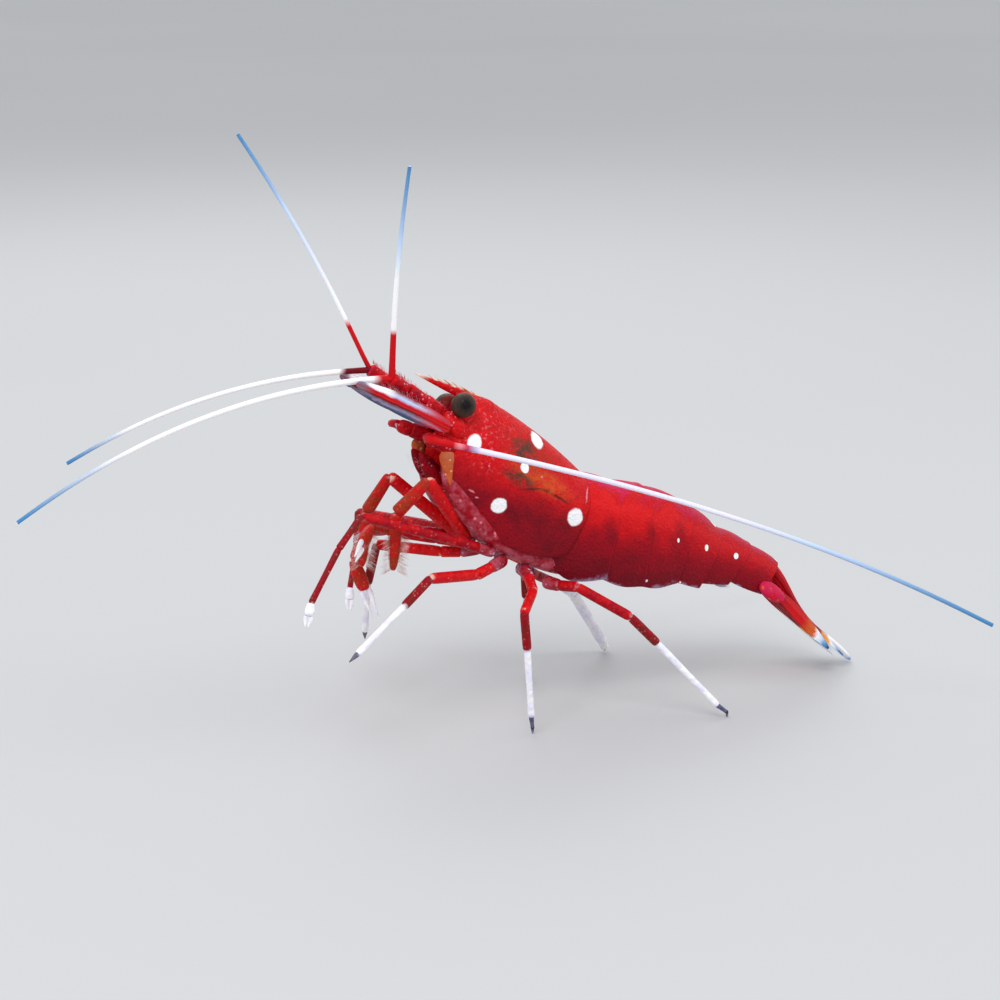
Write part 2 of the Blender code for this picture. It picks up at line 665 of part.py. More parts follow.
def union(target, mesh):
    """Join a mesh to an object's own mesh with a Boolean, and keep the result."""
    other = bpy.data.objects.new("paddle", mesh)
    target.users_collection[0].objects.link(other)
    other.parent = target.parent
    joiner = target.modifiers.new("join", "BOOLEAN")
    joiner.operation = "UNION"
    joiner.solver = "EXACT"
    joiner.object = other
    bpy.context.view_layer.update()
    depsgraph = bpy.context.evaluated_depsgraph_get()
    joined = bpy.data.meshes.new_from_object(target.evaluated_get(depsgraph))
    target.modifiers.clear()
    target.data = joined
    bpy.data.objects.remove(other, do_unlink=True)


def make_abdomen(model):
    """Add the six plates of the abdomen, the first five with their pair of paddles."""
    hoops = abdomen_hoops()
    steps = 12
    for index, (front, rear) in enumerate(zip(hoops, hoops[1:])):
        length = min((rear.top - front.top).length, (rear.low - front.low).length)
        margin = GAP / 2.0 / length
        arch, lobe = DORSAL_ARCHES[index], PLEURA_LOBES[index]
        rows = [plate_hoop(front, rear, mix(margin, 1.0 - margin, share), arch, lobe)
                for share in (0.0, 0.2, 0.5, 0.8, 1.0)]
        name = "somite_{}".format(index + 1)
        mesh = loft_shell(name, [row.arch(steps) for row in rows],
                          [belly_line(row, steps) for row in rows])
        plate = model.add(name, mesh, RED)
        if index < 5:
            for letter, side in SIDES.items():
                union(plate, paddle_mesh("paddle_" + letter, rows[0], rows[-1], side))


def make_telson(model):
    """Add the telson, a tapering blade that bends down and then levels out."""
    centres = [TELSON_START]
    for length, pitch in TELSON_STEPS:
        step = Vector((math.cos(math.radians(pitch)), 0.0, math.sin(math.radians(pitch))))
        centres.append(centres[-1] + step * length)
    pitches = [TELSON_STEPS[0][1]] + [pitch for _, pitch in TELSON_STEPS]
    rings = []
    corners = 10
    for centre, pitch, width, depth in zip(centres, pitches, TELSON_HALF_WIDTHS,
                                           TELSON_HALF_DEPTHS):
        normal = Vector((-math.sin(math.radians(pitch)), 0.0, math.cos(math.radians(pitch))))
        rings.append([centre
                      + Y_AXIS * width * math.cos(2.0 * math.pi * corner / corners)
                      + normal * depth * math.sin(2.0 * math.pi * corner / corners)
                      for corner in range(corners)])
    model.add("telson", loft("telson", rings), TAIL_TIP_RED)


def make_uropods(model):
    """Add the two blades on each side, the right outer one tucked in behind the telson."""
    for letter, side in SIDES.items():
        for kind, (base, tip, half_width, droop) in (("endopod", ENDOPOD), ("exopod", EXOPOD)):
            name = "uropod_{}_{}".format(kind, letter)
            lean = math.radians(droop)
            across = Vector((0.0, side * math.cos(lean), -math.sin(lean)))
            ends = (mirrored(base, side), mirrored(tip, side))
            if name == "uropod_exopod_R":
                ends = TUCKED_EXOPOD
            mesh = leaf(name, *ends, across, half_width, FAN_HALF_THICKNESS)
            model.add(name, mesh, TAIL_TIP_RED)


def build():
    """Build the whole shrimp and set it down over the origin."""
    clear_scene()
    model = Model(NAME)
    for make in (make_carapace, make_thorax, make_head, make_rostrum, make_eyes,
                 make_antennule_stems, make_antennules, make_antennae, make_antennal_scales,
                 make_mouthparts, make_limbs, make_abdomen, make_telson, make_uropods):
        make(model)
    model.centre_on_floor()


if __name__ == "__main__":
    build()
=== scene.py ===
"""A cleaner shrimp, still and life-size, dressed for the pose it stands in.

Every length is in millimetres while a piece is on the bench, in the animal's own frame:
the head towards -X, its left side towards -Y, the ground at Z = 0. A finished piece is
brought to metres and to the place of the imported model.
"""

import logging
import math
import random
from collections.abc import Callable, Iterable, Sequence
from dataclasses import dataclass, field
from enum import Enum
from functools import reduce

import bpy
from mathutils import Matrix, Vector


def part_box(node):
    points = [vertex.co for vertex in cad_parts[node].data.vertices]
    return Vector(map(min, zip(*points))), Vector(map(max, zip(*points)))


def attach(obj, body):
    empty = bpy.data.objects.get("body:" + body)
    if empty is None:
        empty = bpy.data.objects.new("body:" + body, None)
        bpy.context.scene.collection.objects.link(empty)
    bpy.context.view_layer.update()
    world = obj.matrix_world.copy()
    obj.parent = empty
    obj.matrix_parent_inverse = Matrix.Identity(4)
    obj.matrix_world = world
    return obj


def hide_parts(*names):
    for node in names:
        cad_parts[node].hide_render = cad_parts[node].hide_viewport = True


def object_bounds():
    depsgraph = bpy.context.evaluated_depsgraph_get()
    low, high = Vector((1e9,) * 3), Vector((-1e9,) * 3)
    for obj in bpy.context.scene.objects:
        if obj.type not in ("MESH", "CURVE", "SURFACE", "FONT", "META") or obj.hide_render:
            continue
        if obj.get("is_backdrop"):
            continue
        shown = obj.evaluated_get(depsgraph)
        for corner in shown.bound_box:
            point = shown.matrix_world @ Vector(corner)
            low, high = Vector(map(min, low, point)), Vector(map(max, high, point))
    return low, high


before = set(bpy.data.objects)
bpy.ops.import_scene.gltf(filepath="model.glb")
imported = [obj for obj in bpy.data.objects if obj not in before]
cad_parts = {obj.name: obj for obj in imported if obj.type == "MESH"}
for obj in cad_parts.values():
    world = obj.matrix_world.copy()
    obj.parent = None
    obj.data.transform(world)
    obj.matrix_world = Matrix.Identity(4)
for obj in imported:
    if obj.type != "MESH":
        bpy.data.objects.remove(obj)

LOG = logging.getLogger("shrimp")
MM = 0.001
CARAPACE_MIDDLE = Vector((-6.7386, 0.0, 20.6366))
CARAPACE_FRONT = Vector((-11.5, 0.0, 22.0))
CARAPACE_PITCH = math.radians(32.0)
CHITIN_IOR = 1.45
SHINE = 0.10
COAT_ROUGHNESS = 0.12
GLOW_DEPTH = 0.35 * MM
RELIEF_DEPTH = 0.35 * MM
ACROSS = Vector((0.0, 1.0, 0.0))
REARWARD = Vector((1.0, 0.0, 0.0))
WHIP_STEP = 2.8
WHIP_TIP = 0.15

Place = tuple[float, float, float]
Angles = tuple[float, float]
Station = tuple[float, float]
Piece = bpy.types.Object
Skin = bpy.types.Material


class Side(Enum):
    """The animal's left and right."""

    LEFT = -1
    RIGHT = 1

    @property
    def letter(self) -> str:
        """The letter that ends a piece's name."""
        return "L" if self is Side.LEFT else "R"

    def mirror(self, place: Sequence[float]) -> Vector:
        """A place given for the right side, moved to this one."""
        return Vector((place[0], place[1] * self.value, place[2]))


def datum() -> Vector:
    """The place of the animal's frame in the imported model, in metres."""
    low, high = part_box("carapace")
    return (low + high) / 2.0 - CARAPACE_MIDDLE * MM


def heading(angles: Angles, side: Side) -> Vector:
    """Turn a heading and a pitch into a direction.

    Args:
        angles: The heading outward from straight ahead and the pitch above level, in degrees.
        side: The side that the heading opens towards.

    Returns:
        A direction of length one.
    """
    turn, rise = math.radians(angles[0]), math.radians(angles[1])
    level = math.cos(rise)
    return Vector((-level * math.cos(turn), side.value * level * math.sin(turn), math.sin(rise)))


def on_carapace(back: float, out: float, up: float) -> Vector:
    """The place so far back from the carapace's front, out to the side and up from its axis."""
    cos, sin = math.cos(CARAPACE_PITCH), math.sin(CARAPACE_PITCH)
    return CARAPACE_FRONT + Vector((back * cos + up * sin, out, up * cos - back * sin))


def aim(along: Vector, across: Vector | None = None) -> Matrix:
    """Give the turn that points +Z along one direction and +X as near as it can to another.

    Args:
        along: The direction for +Z.
        across: The direction for +X, or None for any.

    Returns:
        A turning matrix with four rows.
    """
    if across is None:
        return along.to_track_quat("Z", "Y").to_matrix().to_4x4()
    rise = along.normalized()
    wide = (across - rise * across.dot(rise)).normalized()
    return Matrix((wide, rise.cross(wide), rise)).transposed().to_4x4()


def mix(first: float, last: float, share: float) -> float:
    """A number part of the way from one to another."""
    return first + (last - first) * share


def leaf_spread(share: float, root: float, run: float, fullness: float) -> float:
    """A leaf's half width at a share of its length, as a share of its widest."""
    return math.sin(math.pi * (root + run * share) ** 0.85) ** fullness


def hold(*pieces: Piece) -> None:
    """Select these pieces alone, and work on the first.

    Args:
        pieces: The pieces, at least one.
    """
    bpy.ops.object.select_all(action="DESELECT")
    for piece in pieces:
        piece.select_set(True)
    bpy.context.view_layer.objects.active = pieces[0]


def edit(piece: Piece) -> None:
    """Open a piece in edit mode with all of it selected.

    Args:
        piece: The piece to open.
    """
    hold(piece)
    bpy.ops.object.mode_set(mode="EDIT")
    bpy.ops.mesh.select_mode(type="VERT")
    bpy.ops.mesh.select_all(action="SELECT")


def leave() -> None:
    """Go back to object mode."""
    bpy.ops.object.mode_set(mode="OBJECT")


def settle(piece: Piece) -> None:
    """Leave edit mode and bring a piece's place and turn into its mesh.

    Args:
        piece: The piece that is open.
    """
    leave()
    hold(piece)
    bpy.ops.object.transform_apply(location=True, rotation=True, scale=True)


def pick(piece: Piece, test: Callable[[Vector], bool]) -> None:
    """Open a piece in edit mode with only some of its points selected.

    Args:
        piece: The piece to open.
        test: Says whether the point at a place is wanted.
    """
    edit(piece)
    bpy.ops.mesh.select_all(action="DESELECT")
    leave()
    for point in piece.data.vertices:
        point.select = test(piece.matrix_world @ point.co)
    bpy.ops.object.mode_set(mode="EDIT")


def start_ring(name: str, radius: float, sides: int, turn: Matrix, filled: bool = True,
               flat: float = 1.0) -> Piece:
    """Add a ring and open it in edit mode, ready to be drawn out.

    Args:
        name: The piece's name.
        radius: The ring's radius.
        sides: How many points it has.
        turn: Its place and turn.
        filled: Whether a face closes it.
        flat: Its depth as a share of its width.

    Returns:
        The new piece.
    """
    bpy.ops.object.select_all(action="DESELECT")
    bpy.ops.mesh.primitive_circle_add(
        vertices=sides, radius=radius, fill_type="NGON" if filled else "NOTHING",
        location=turn.translation, rotation=turn.to_euler())
    piece = bpy.context.object
    piece.name = name
    edit(piece)
    if flat != 1.0:
        bpy.ops.transform.resize(
            value=(1.0, flat, 1.0), center_override=turn.translation, orient_type="GLOBAL",
            orient_matrix=turn.to_3x3(), orient_matrix_type="GLOBAL")
    return piece


def draw_out(step: Vector, centre: Vector, widen: Place, turn: float = 0.0,
             axes: Matrix | None = None) -> None:
    """Extrude what is selected, then turn and widen the new rim about a centre.

    Args:
        step: How far to draw it.
        centre: The middle of the turn and of the widening.
        widen: The widening along the three axes.
        turn: The turn about +Y, in radians, by the right-hand rule.
        axes: The axes of the widening, or None for the frame's own.
    """
    bpy.ops.mesh.extrude_region_move(TRANSFORM_OT_translate={"value": step})
    if abs(turn) > 1e-6:
        bpy.ops.transform.rotate(
            value=-turn, orient_axis="Y", orient_type="GLOBAL", center_override=centre)
    if axes is None:
        bpy.ops.transform.resize(value=widen, center_override=centre)
    else:
        bpy.ops.transform.resize(
            value=widen, center_override=centre, orient_type="GLOBAL", orient_matrix=axes.to_3x3(),
            orient_matrix_type="GLOBAL")


def swell(piece: Piece, test: Callable[[Vector], bool], depth: float) -> None:
    """Thicken part of a leaf that stands on the origin.

    Args:
        piece: The leaf.
        test: Says whether the point at a place is in that part.
        depth: How many times as thick that part becomes.
    """
    pick(piece, test)
    bpy.ops.transform.resize(value=(1.0, depth, 1.0), center_override=(0.0, 0.0, 0.0))
    leave()


def outward(piece: Piece) -> None:
    """Turn every face of a closed piece outward.

    Args:
        piece: The piece.
    """
    edit(piece)
    bpy.ops.mesh.normals_make_consistent(inside=False)
    leave()


def turned(name: str, stations: Sequence[Station], sides: int = 12, flat: float = 1.0) -> Piece:
    """Model a closed round piece that stands on the origin along +Z.

    Args:
        name: The piece's name.
        stations: The height and radius of each ring, from the root up.
        sides: How many points go round.
        flat: The depth across Y as a share of the width.

    Returns:
        The piece, with each point's share of the height kept as "along".
    """
    start = Matrix.Translation((0.0, 0.0, stations[0][0]))
    piece = start_ring(name, stations[0][1], sides, start, flat=flat)
    for (low, narrow), (high, wide) in zip(stations, stations[1:]):
        ratio = wide / narrow
        draw_out(Vector((0.0, 0.0, high - low)), Vector((0.0, 0.0, high)), (ratio, ratio, 1.0))
    settle(piece)
    outward(piece)
    base, span = stations[0][0], stations[-1][0] - stations[0][0]
    mark(piece, "along", lambda place: (place.z - base) / span)
    return piece


def keep(piece: Piece, name: str, numbers: Sequence[float]) -> None:
    """Keep a number for each point of a piece, in the points' order.

    Args:
        piece: The piece to mark.
        name: The numbers' name.
        numbers: A number for each point.
    """
    layer = piece.data.attributes.get(name)
    if layer is None:
        layer = piece.data.attributes.new(name, "FLOAT", "POINT")
    layer.data.foreach_set("value", numbers)


def mark(piece: Piece, name: str, value: Callable[[Vector], float]) -> None:
    """Keep a number at each point of a piece, for its finish to read.

    Args:
        piece: The piece to mark.
        name: The number's name.
        value: Gives the number for a place on the piece.
    """
    keep(piece, name, [value(point.co) for point in piece.data.vertices])


def copied(piece: Piece, place: Vector, turn: Matrix, stretch: float = 1.0) -> Piece:
    """Copy a piece with its own mesh and set the copy in its place.

    Args:
        piece: The piece, modelled on the origin along +Z.
        place: Where the copy's origin goes.
        turn: The copy's turn.
        stretch: How much the copy is scaled.

    Returns:
        The copy, with its place in its mesh.
    """
    double = piece.copy()
    double.data = piece.data.copy()
    bpy.context.scene.collection.objects.link(double)
    double.data.transform(Matrix.Translation(place) @ turn @ Matrix.Scale(stretch, 4))
    return double


def join(name: str, pieces: Sequence[Piece]) -> Piece:
    """Join pieces into one.

    Args:
        name: The joined piece's name.
        pieces: The pieces, at least one.

    Returns:
        The joined piece.
    """
    hold(*pieces)
    if len(pieces) > 1:
        bpy.ops.object.join()
    pieces[0].name = name
    return pieces[0]


def coat(piece: Piece, skin: Skin) -> None:
    """Give a piece its material."""
    piece.data.materials.append(skin)


def discard(pieces: Iterable[Piece]) -> None:
    """Take the patterns that copies were made from off the bench."""
    for piece in pieces:
        bpy.data.objects.remove(piece)


def modify(piece: Piece, kind: str, **settings: float | bool | str) -> None:
    """Add a modifier to a piece and apply it.

    Args:
        piece: The piece to change.
        kind: The modifier's type.
        settings: Its settings by name.
    """
    hold(piece)
    bpy.ops.object.modifier_add(type=kind)
    modifier = piece.modifiers[-1]
    for name, value in settings.items():
        setattr(modifier, name, value)
    bpy.ops.object.modifier_apply(modifier=modifier.name)


def from_frame(node: str, name: str) -> Piece:
    """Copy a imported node's mesh as closed quads, in millimetres on the bench.

    Args:
        node: The node to copy.
        name: The copy's name.

    Returns:
        The copy.
    """
    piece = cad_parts[node].copy()
    piece.data = piece.data.copy()
    piece.name = name
    piece.parent = None
    bpy.context.scene.collection.objects.link(piece)
    piece.data.materials.clear()
    piece.data.transform(Matrix.Scale(1.0 / MM, 4) @ Matrix.Translation(-datum()))
    edit(piece)
    bpy.ops.mesh.remove_doubles(threshold=0.001)
    bpy.ops.mesh.tris_convert_to_quads(
        face_threshold=math.radians(50.0), shape_threshold=math.radians(60.0))
    leave()
    return piece


def whip(name: str, points: Sequence[Vector], radii: Sequence[float]) -> Piece:
    """Lay a whip along points as a curve and make it a mesh.

    Args:
        name: The piece's name.
        points: The points that it follows.
        radii: Its radius at each point.

    Returns:
        The whip, whose own map runs from its root to its tip.
    """
    bpy.ops.object.select_all(action="DESELECT")
    bpy.ops.curve.primitive_nurbs_path_add(location=(0.0, 0.0, 0.0))
    path = bpy.context.object
    path.name = name
    path.data.splines.clear()
    spline = path.data.splines.new("NURBS")
    spline.points.add(len(points) - 1)
    for knot, point, radius in zip(spline.points, points, radii):
        knot.co = (*point, 1.0)
        knot.radius = radius
    spline.order_u = 4
    spline.use_endpoint_u = True
    spline.resolution_u = 5
    path.data.dimensions = "3D"
    path.data.bevel_depth = 1.0
    path.data.bevel_resolution = 2
    path.data.use_fill_caps = True
    bpy.ops.object.convert(target="MESH")
    piece = bpy.context.object
    edit(piece)
    bpy.ops.mesh.remove_doubles(threshold=0.0005)
    leave()
    return piece


def finish(piece: Piece, nodes: Sequence[str] = (), smooth: float = 60.0,
           rounds: int = 0) -> Piece:
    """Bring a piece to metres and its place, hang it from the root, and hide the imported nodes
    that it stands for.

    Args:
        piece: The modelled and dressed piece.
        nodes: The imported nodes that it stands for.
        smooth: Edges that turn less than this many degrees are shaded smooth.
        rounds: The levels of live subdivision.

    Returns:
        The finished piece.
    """
    piece.data.transform(Matrix.Translation(datum()) @ Matrix.Scale(MM, 4))
    hold(piece)
    bpy.ops.object.shade_smooth_by_angle(angle=math.radians(smooth))
    if rounds:
        bpy.ops.object.modifier_add(type="SUBSURF")
        piece.modifiers[-1].levels = rounds
        piece.modifiers[-1].render_levels = rounds
    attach(piece, "root")
    if nodes:
        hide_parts(*nodes)
    LOG.info("%s: %d points", piece.name, len(piece.data.vertices))
    return piece


class Ink(Enum):
    """The animal's colours, in linear light."""

    SCARLET = (0.56, 0.0035, 0.007)
    BRIGHT = (0.68, 0.007, 0.009)
    CRIMSON = (0.31, 0.0015, 0.010)
    WINE = (0.16, 0.002, 0.009)
    MAGENTA = (0.56, 0.010, 0.070)
    PINK = (0.80, 0.26, 0.32)
    RUST = (0.34, 0.028, 0.010)
    ORANGE = (0.62, 0.100, 0.016)
    PEACH = (0.52, 0.140, 0.062)
    ROSE = (0.46, 0.085, 0.125)
    AMBER = (0.90, 0.34, 0.03)
    BROWN = (0.21, 0.014, 0.012)
    UMBER = (0.030, 0.021, 0.015)
    OLIVE = (0.058, 0.038, 0.026)
    CREAM = (0.88, 0.72, 0.56)
    WHITE = (0.93, 0.93, 0.95)
    PEARL = (0.80, 0.79, 0.95)
    ICE = (0.54, 0.68, 0.92)
    LAVENDER = (0.46, 0.38, 0.62)
    BLUE = (0.06, 0.24, 0.50)
    GREY = (0.17, 0.15, 0.20)
    STEEL = (0.07, 0.09, 0.19)
    NAVY = (0.010, 0.016, 0.070)
    BLACK = (0.006, 0.005, 0.006)
    PAPER = (0.55, 0.56, 0.57)
    STONE = (0.50, 0.51, 0.53)


Stop = tuple[float, Ink]
Socket = bpy.types.NodeSocket
Tint = Ink | Socket
Number = Socket | float
Feeds = dict[str | int, Tint | float | Sequence[float]]


class Recipe:
    """A procedural finish, put together node by node."""

    def __init__(self, name: str) -> None:
        """Start a material with its shader and nothing else.

        Args:
            name: The material's name.
        """
        self.material = bpy.data.materials.new(name)
        self.material.use_nodes = True
        self.tree = self.material.node_tree
        self.shader = self.tree.nodes["Principled BSDF"]

    def feed(self, node: bpy.types.Node, inputs: Feeds) -> None:
        """Link or set a node's inputs.

        Args:
            node: The node.
            inputs: For each input's name or number, what it is linked or set to.
        """
        for key, value in inputs.items():
            if isinstance(value, Socket):
                self.tree.links.new(value, node.inputs[key])
            else:
                plain = (*value.value, 1.0) if isinstance(value, Ink) else value
                node.inputs[key].default_value = plain

    def node(self, kind: str, inputs: Feeds, **settings: str) -> bpy.types.Node:
        """Add a node.

        Args:
            kind: The node's type, without the words that every type starts with.
            inputs: For each input's name or number, what it is linked or set to.
            settings: The node's settings by name.

        Returns:
            The node.
        """
        node = self.tree.nodes.new("ShaderNode" + kind)
        for name, value in settings.items():
            setattr(node, name, value)
        self.feed(node, inputs)
        return node

    def place(self) -> Socket:
        """The place on the piece, in metres."""
        return self.node("TexCoord", {}).outputs["Object"]

    def bench_place(self, origin: Vector, pitch: float = 0.0) -> Socket:
        """Give the place in millimetres from an origin, alike on the left and the right.

        Args:
            origin: The origin in the animal's frame, in millimetres.
            pitch: How far the axes are turned about +Y.

        Returns:
            The place, its Y always above zero.
        """
        mapping = self.node(
            "Mapping", {"Vector": self.place(), "Location": datum() + origin * MM,
                        "Rotation": (0.0, pitch, 0.0), "Scale": (MM, MM, MM)},
            vector_type="TEXTURE")
        parts = self.node("SeparateXYZ", {0: mapping.outputs[0]}).outputs
        aside = self.number("ABSOLUTE", parts[1])
        return self.node("CombineXYZ", {0: parts[0], 1: aside, 2: parts[2]}).outputs[0]

    def part(self, place: Socket, axis: int) -> Socket:
        """One coordinate of a place."""
        return self.node("SeparateXYZ", {0: place}).outputs[axis]

    def kept(self, name: str) -> Socket:
        """A number that is kept at the piece's points."""
        return self.node("Attribute", {}, attribute_name=name).outputs["Fac"]

    def noise(self, place: Socket, per_mm: float, detail: float = 3.0,
              rough: float = 0.5) -> Socket:
        """Cloudy variation, with so many clouds in a millimetre."""
        return self.node("TexNoise", {"Vector": place, "Scale": per_mm / MM, "Detail": detail,
                                      "Roughness": rough}).outputs["Fac"]

    def grains(self, place: Socket, per_mm: float) -> Socket:
        """The distance to the nearest grain, with so many grains in a millimetre."""
        return self.node("TexVoronoi", {"Vector": place, "Scale": per_mm / MM}).outputs["Distance"]

    def number(self, operation: str, first: Number, second: Number = 0.0) -> Socket:
        """Work a sum on one or two numbers."""
        return self.node("Math", {0: first, 1: second}, operation=operation).outputs[0]

    def plus(self, first: Number, second: Number) -> Socket:
        """The sum of two numbers."""
        return self.number("ADD", first, second)

    def times(self, product: Socket, *others: Number) -> Socket:
        """The product of numbers."""
        return reduce(lambda done, other: self.number("MULTIPLY", done, other), others, product)

    def vector(self, operation: str, first: Socket, second: Socket | Sequence[float]) -> Socket:
        """Work a sum on two places."""
        return self.node("VectorMath", {0: first, 1: second}, operation=operation).outputs[0]

    def length(self, place: Socket) -> Socket:
        """How far a place lies from the origin."""
        return self.node("VectorMath", {0: place}, operation="LENGTH").outputs["Value"]

    def span(self, value: Socket, low: float, high: float, first: float = 0.0,
             last: float = 1.0) -> Socket:
        """Run smoothly from first to last while a value goes from low to high."""
        return self.node("MapRange", {0: value, 1: low, 2: high, 3: first, 4: last},
                         interpolation_type="SMOOTHSTEP").outputs[0]

    def tint(self, share: Number, first: Tint, last: Tint) -> Socket:
        """Mix two colours."""
        return self.node("Mix", {0: share, 6: first, 7: last}, data_type="RGBA").outputs[2]

    def over(self, flesh: Socket, ink: Ink, *masks: Number) -> Socket:
        """Lay a colour over another, as strongly as the masks say together."""
        return self.tint(self.times(*masks), flesh, ink)

    def bands(self, value: Socket, stops: Sequence[Stop]) -> Socket:
        """Give colours in bands along a value.

        Args:
            value: The value from 0 to 1.
            stops: Each band's value and colour.

        Returns:
            The colour.
        """
        node = self.node("ValToRGB", {0: value})
        ramp = node.color_ramp
        while len(ramp.elements) < len(stops):
            ramp.elements.new(0.5)
        for element, (share, ink) in zip(ramp.elements, stops):
            element.position = share
            element.color = (*ink.value, 1.0)
        return node.outputs["Color"]

    def spot(self, place: Socket, centre: Sequence[float], reach: Sequence[float],
             edge: float = 0.12) -> Socket:
        """1 within a spot's half sizes of its middle and 0 outside, with a soft or clean edge."""
        away = self.vector("DIVIDE", self.vector("SUBTRACT", place, centre), reach)
        return self.span(self.length(away), 1.0 + edge, 1.0 - edge)

    def wobble(self, place: Socket, per_mm: float, reach: float) -> Socket:
        """Shift a place a little, so that edges are uneven.

        Args:
            place: The place, in millimetres.
            per_mm: How many bumps an edge gets in a millimetre.
            reach: How far the place is shifted.

        Returns:
            The shifted place.
        """
        clouds = self.node("TexNoise", {"Vector": self.place(), "Scale": per_mm / MM})
        shift = self.vector("SUBTRACT", clouds.outputs["Color"], (0.5, 0.5, 0.5))
        return self.vector("ADD", place, self.vector("MULTIPLY", shift, (reach, reach, reach)))

    def surface(self, colour: Tint, rough: float = 0.42, wet: float = 0.05,
                glow: float = 0.12) -> None:
        """Set how the finish takes the light.

        Args:
            colour: The surface's colour.
            rough: How dull it is.
            wet: How strong its clear wet coat is.
            glow: How much light goes in under the skin.
        """
        self.feed(self.shader, {
            "Base Color": colour, "Roughness": rough, "IOR": CHITIN_IOR,
            "Specular IOR Level": SHINE, "Coat Weight": wet, "Coat Roughness": COAT_ROUGHNESS,
            "Subsurface Weight": glow, "Subsurface Radius": (1.0, 0.35, 0.25),
            "Subsurface Scale": GLOW_DEPTH})

    def relief(self, height: Socket, strength: float) -> None:
        """Raise the surface by a height from 0 to 1, as strongly as a share says."""
        bump = self.node("Bump", {0: strength, "Distance": RELIEF_DEPTH, "Height": height})
        self.feed(self.shader, {"Normal": bump.outputs["Normal"]})


@dataclass(frozen=True)
class Spot:
    """A marking: its middle and half sizes in millimetres."""

    centre: Place
    reach: Place


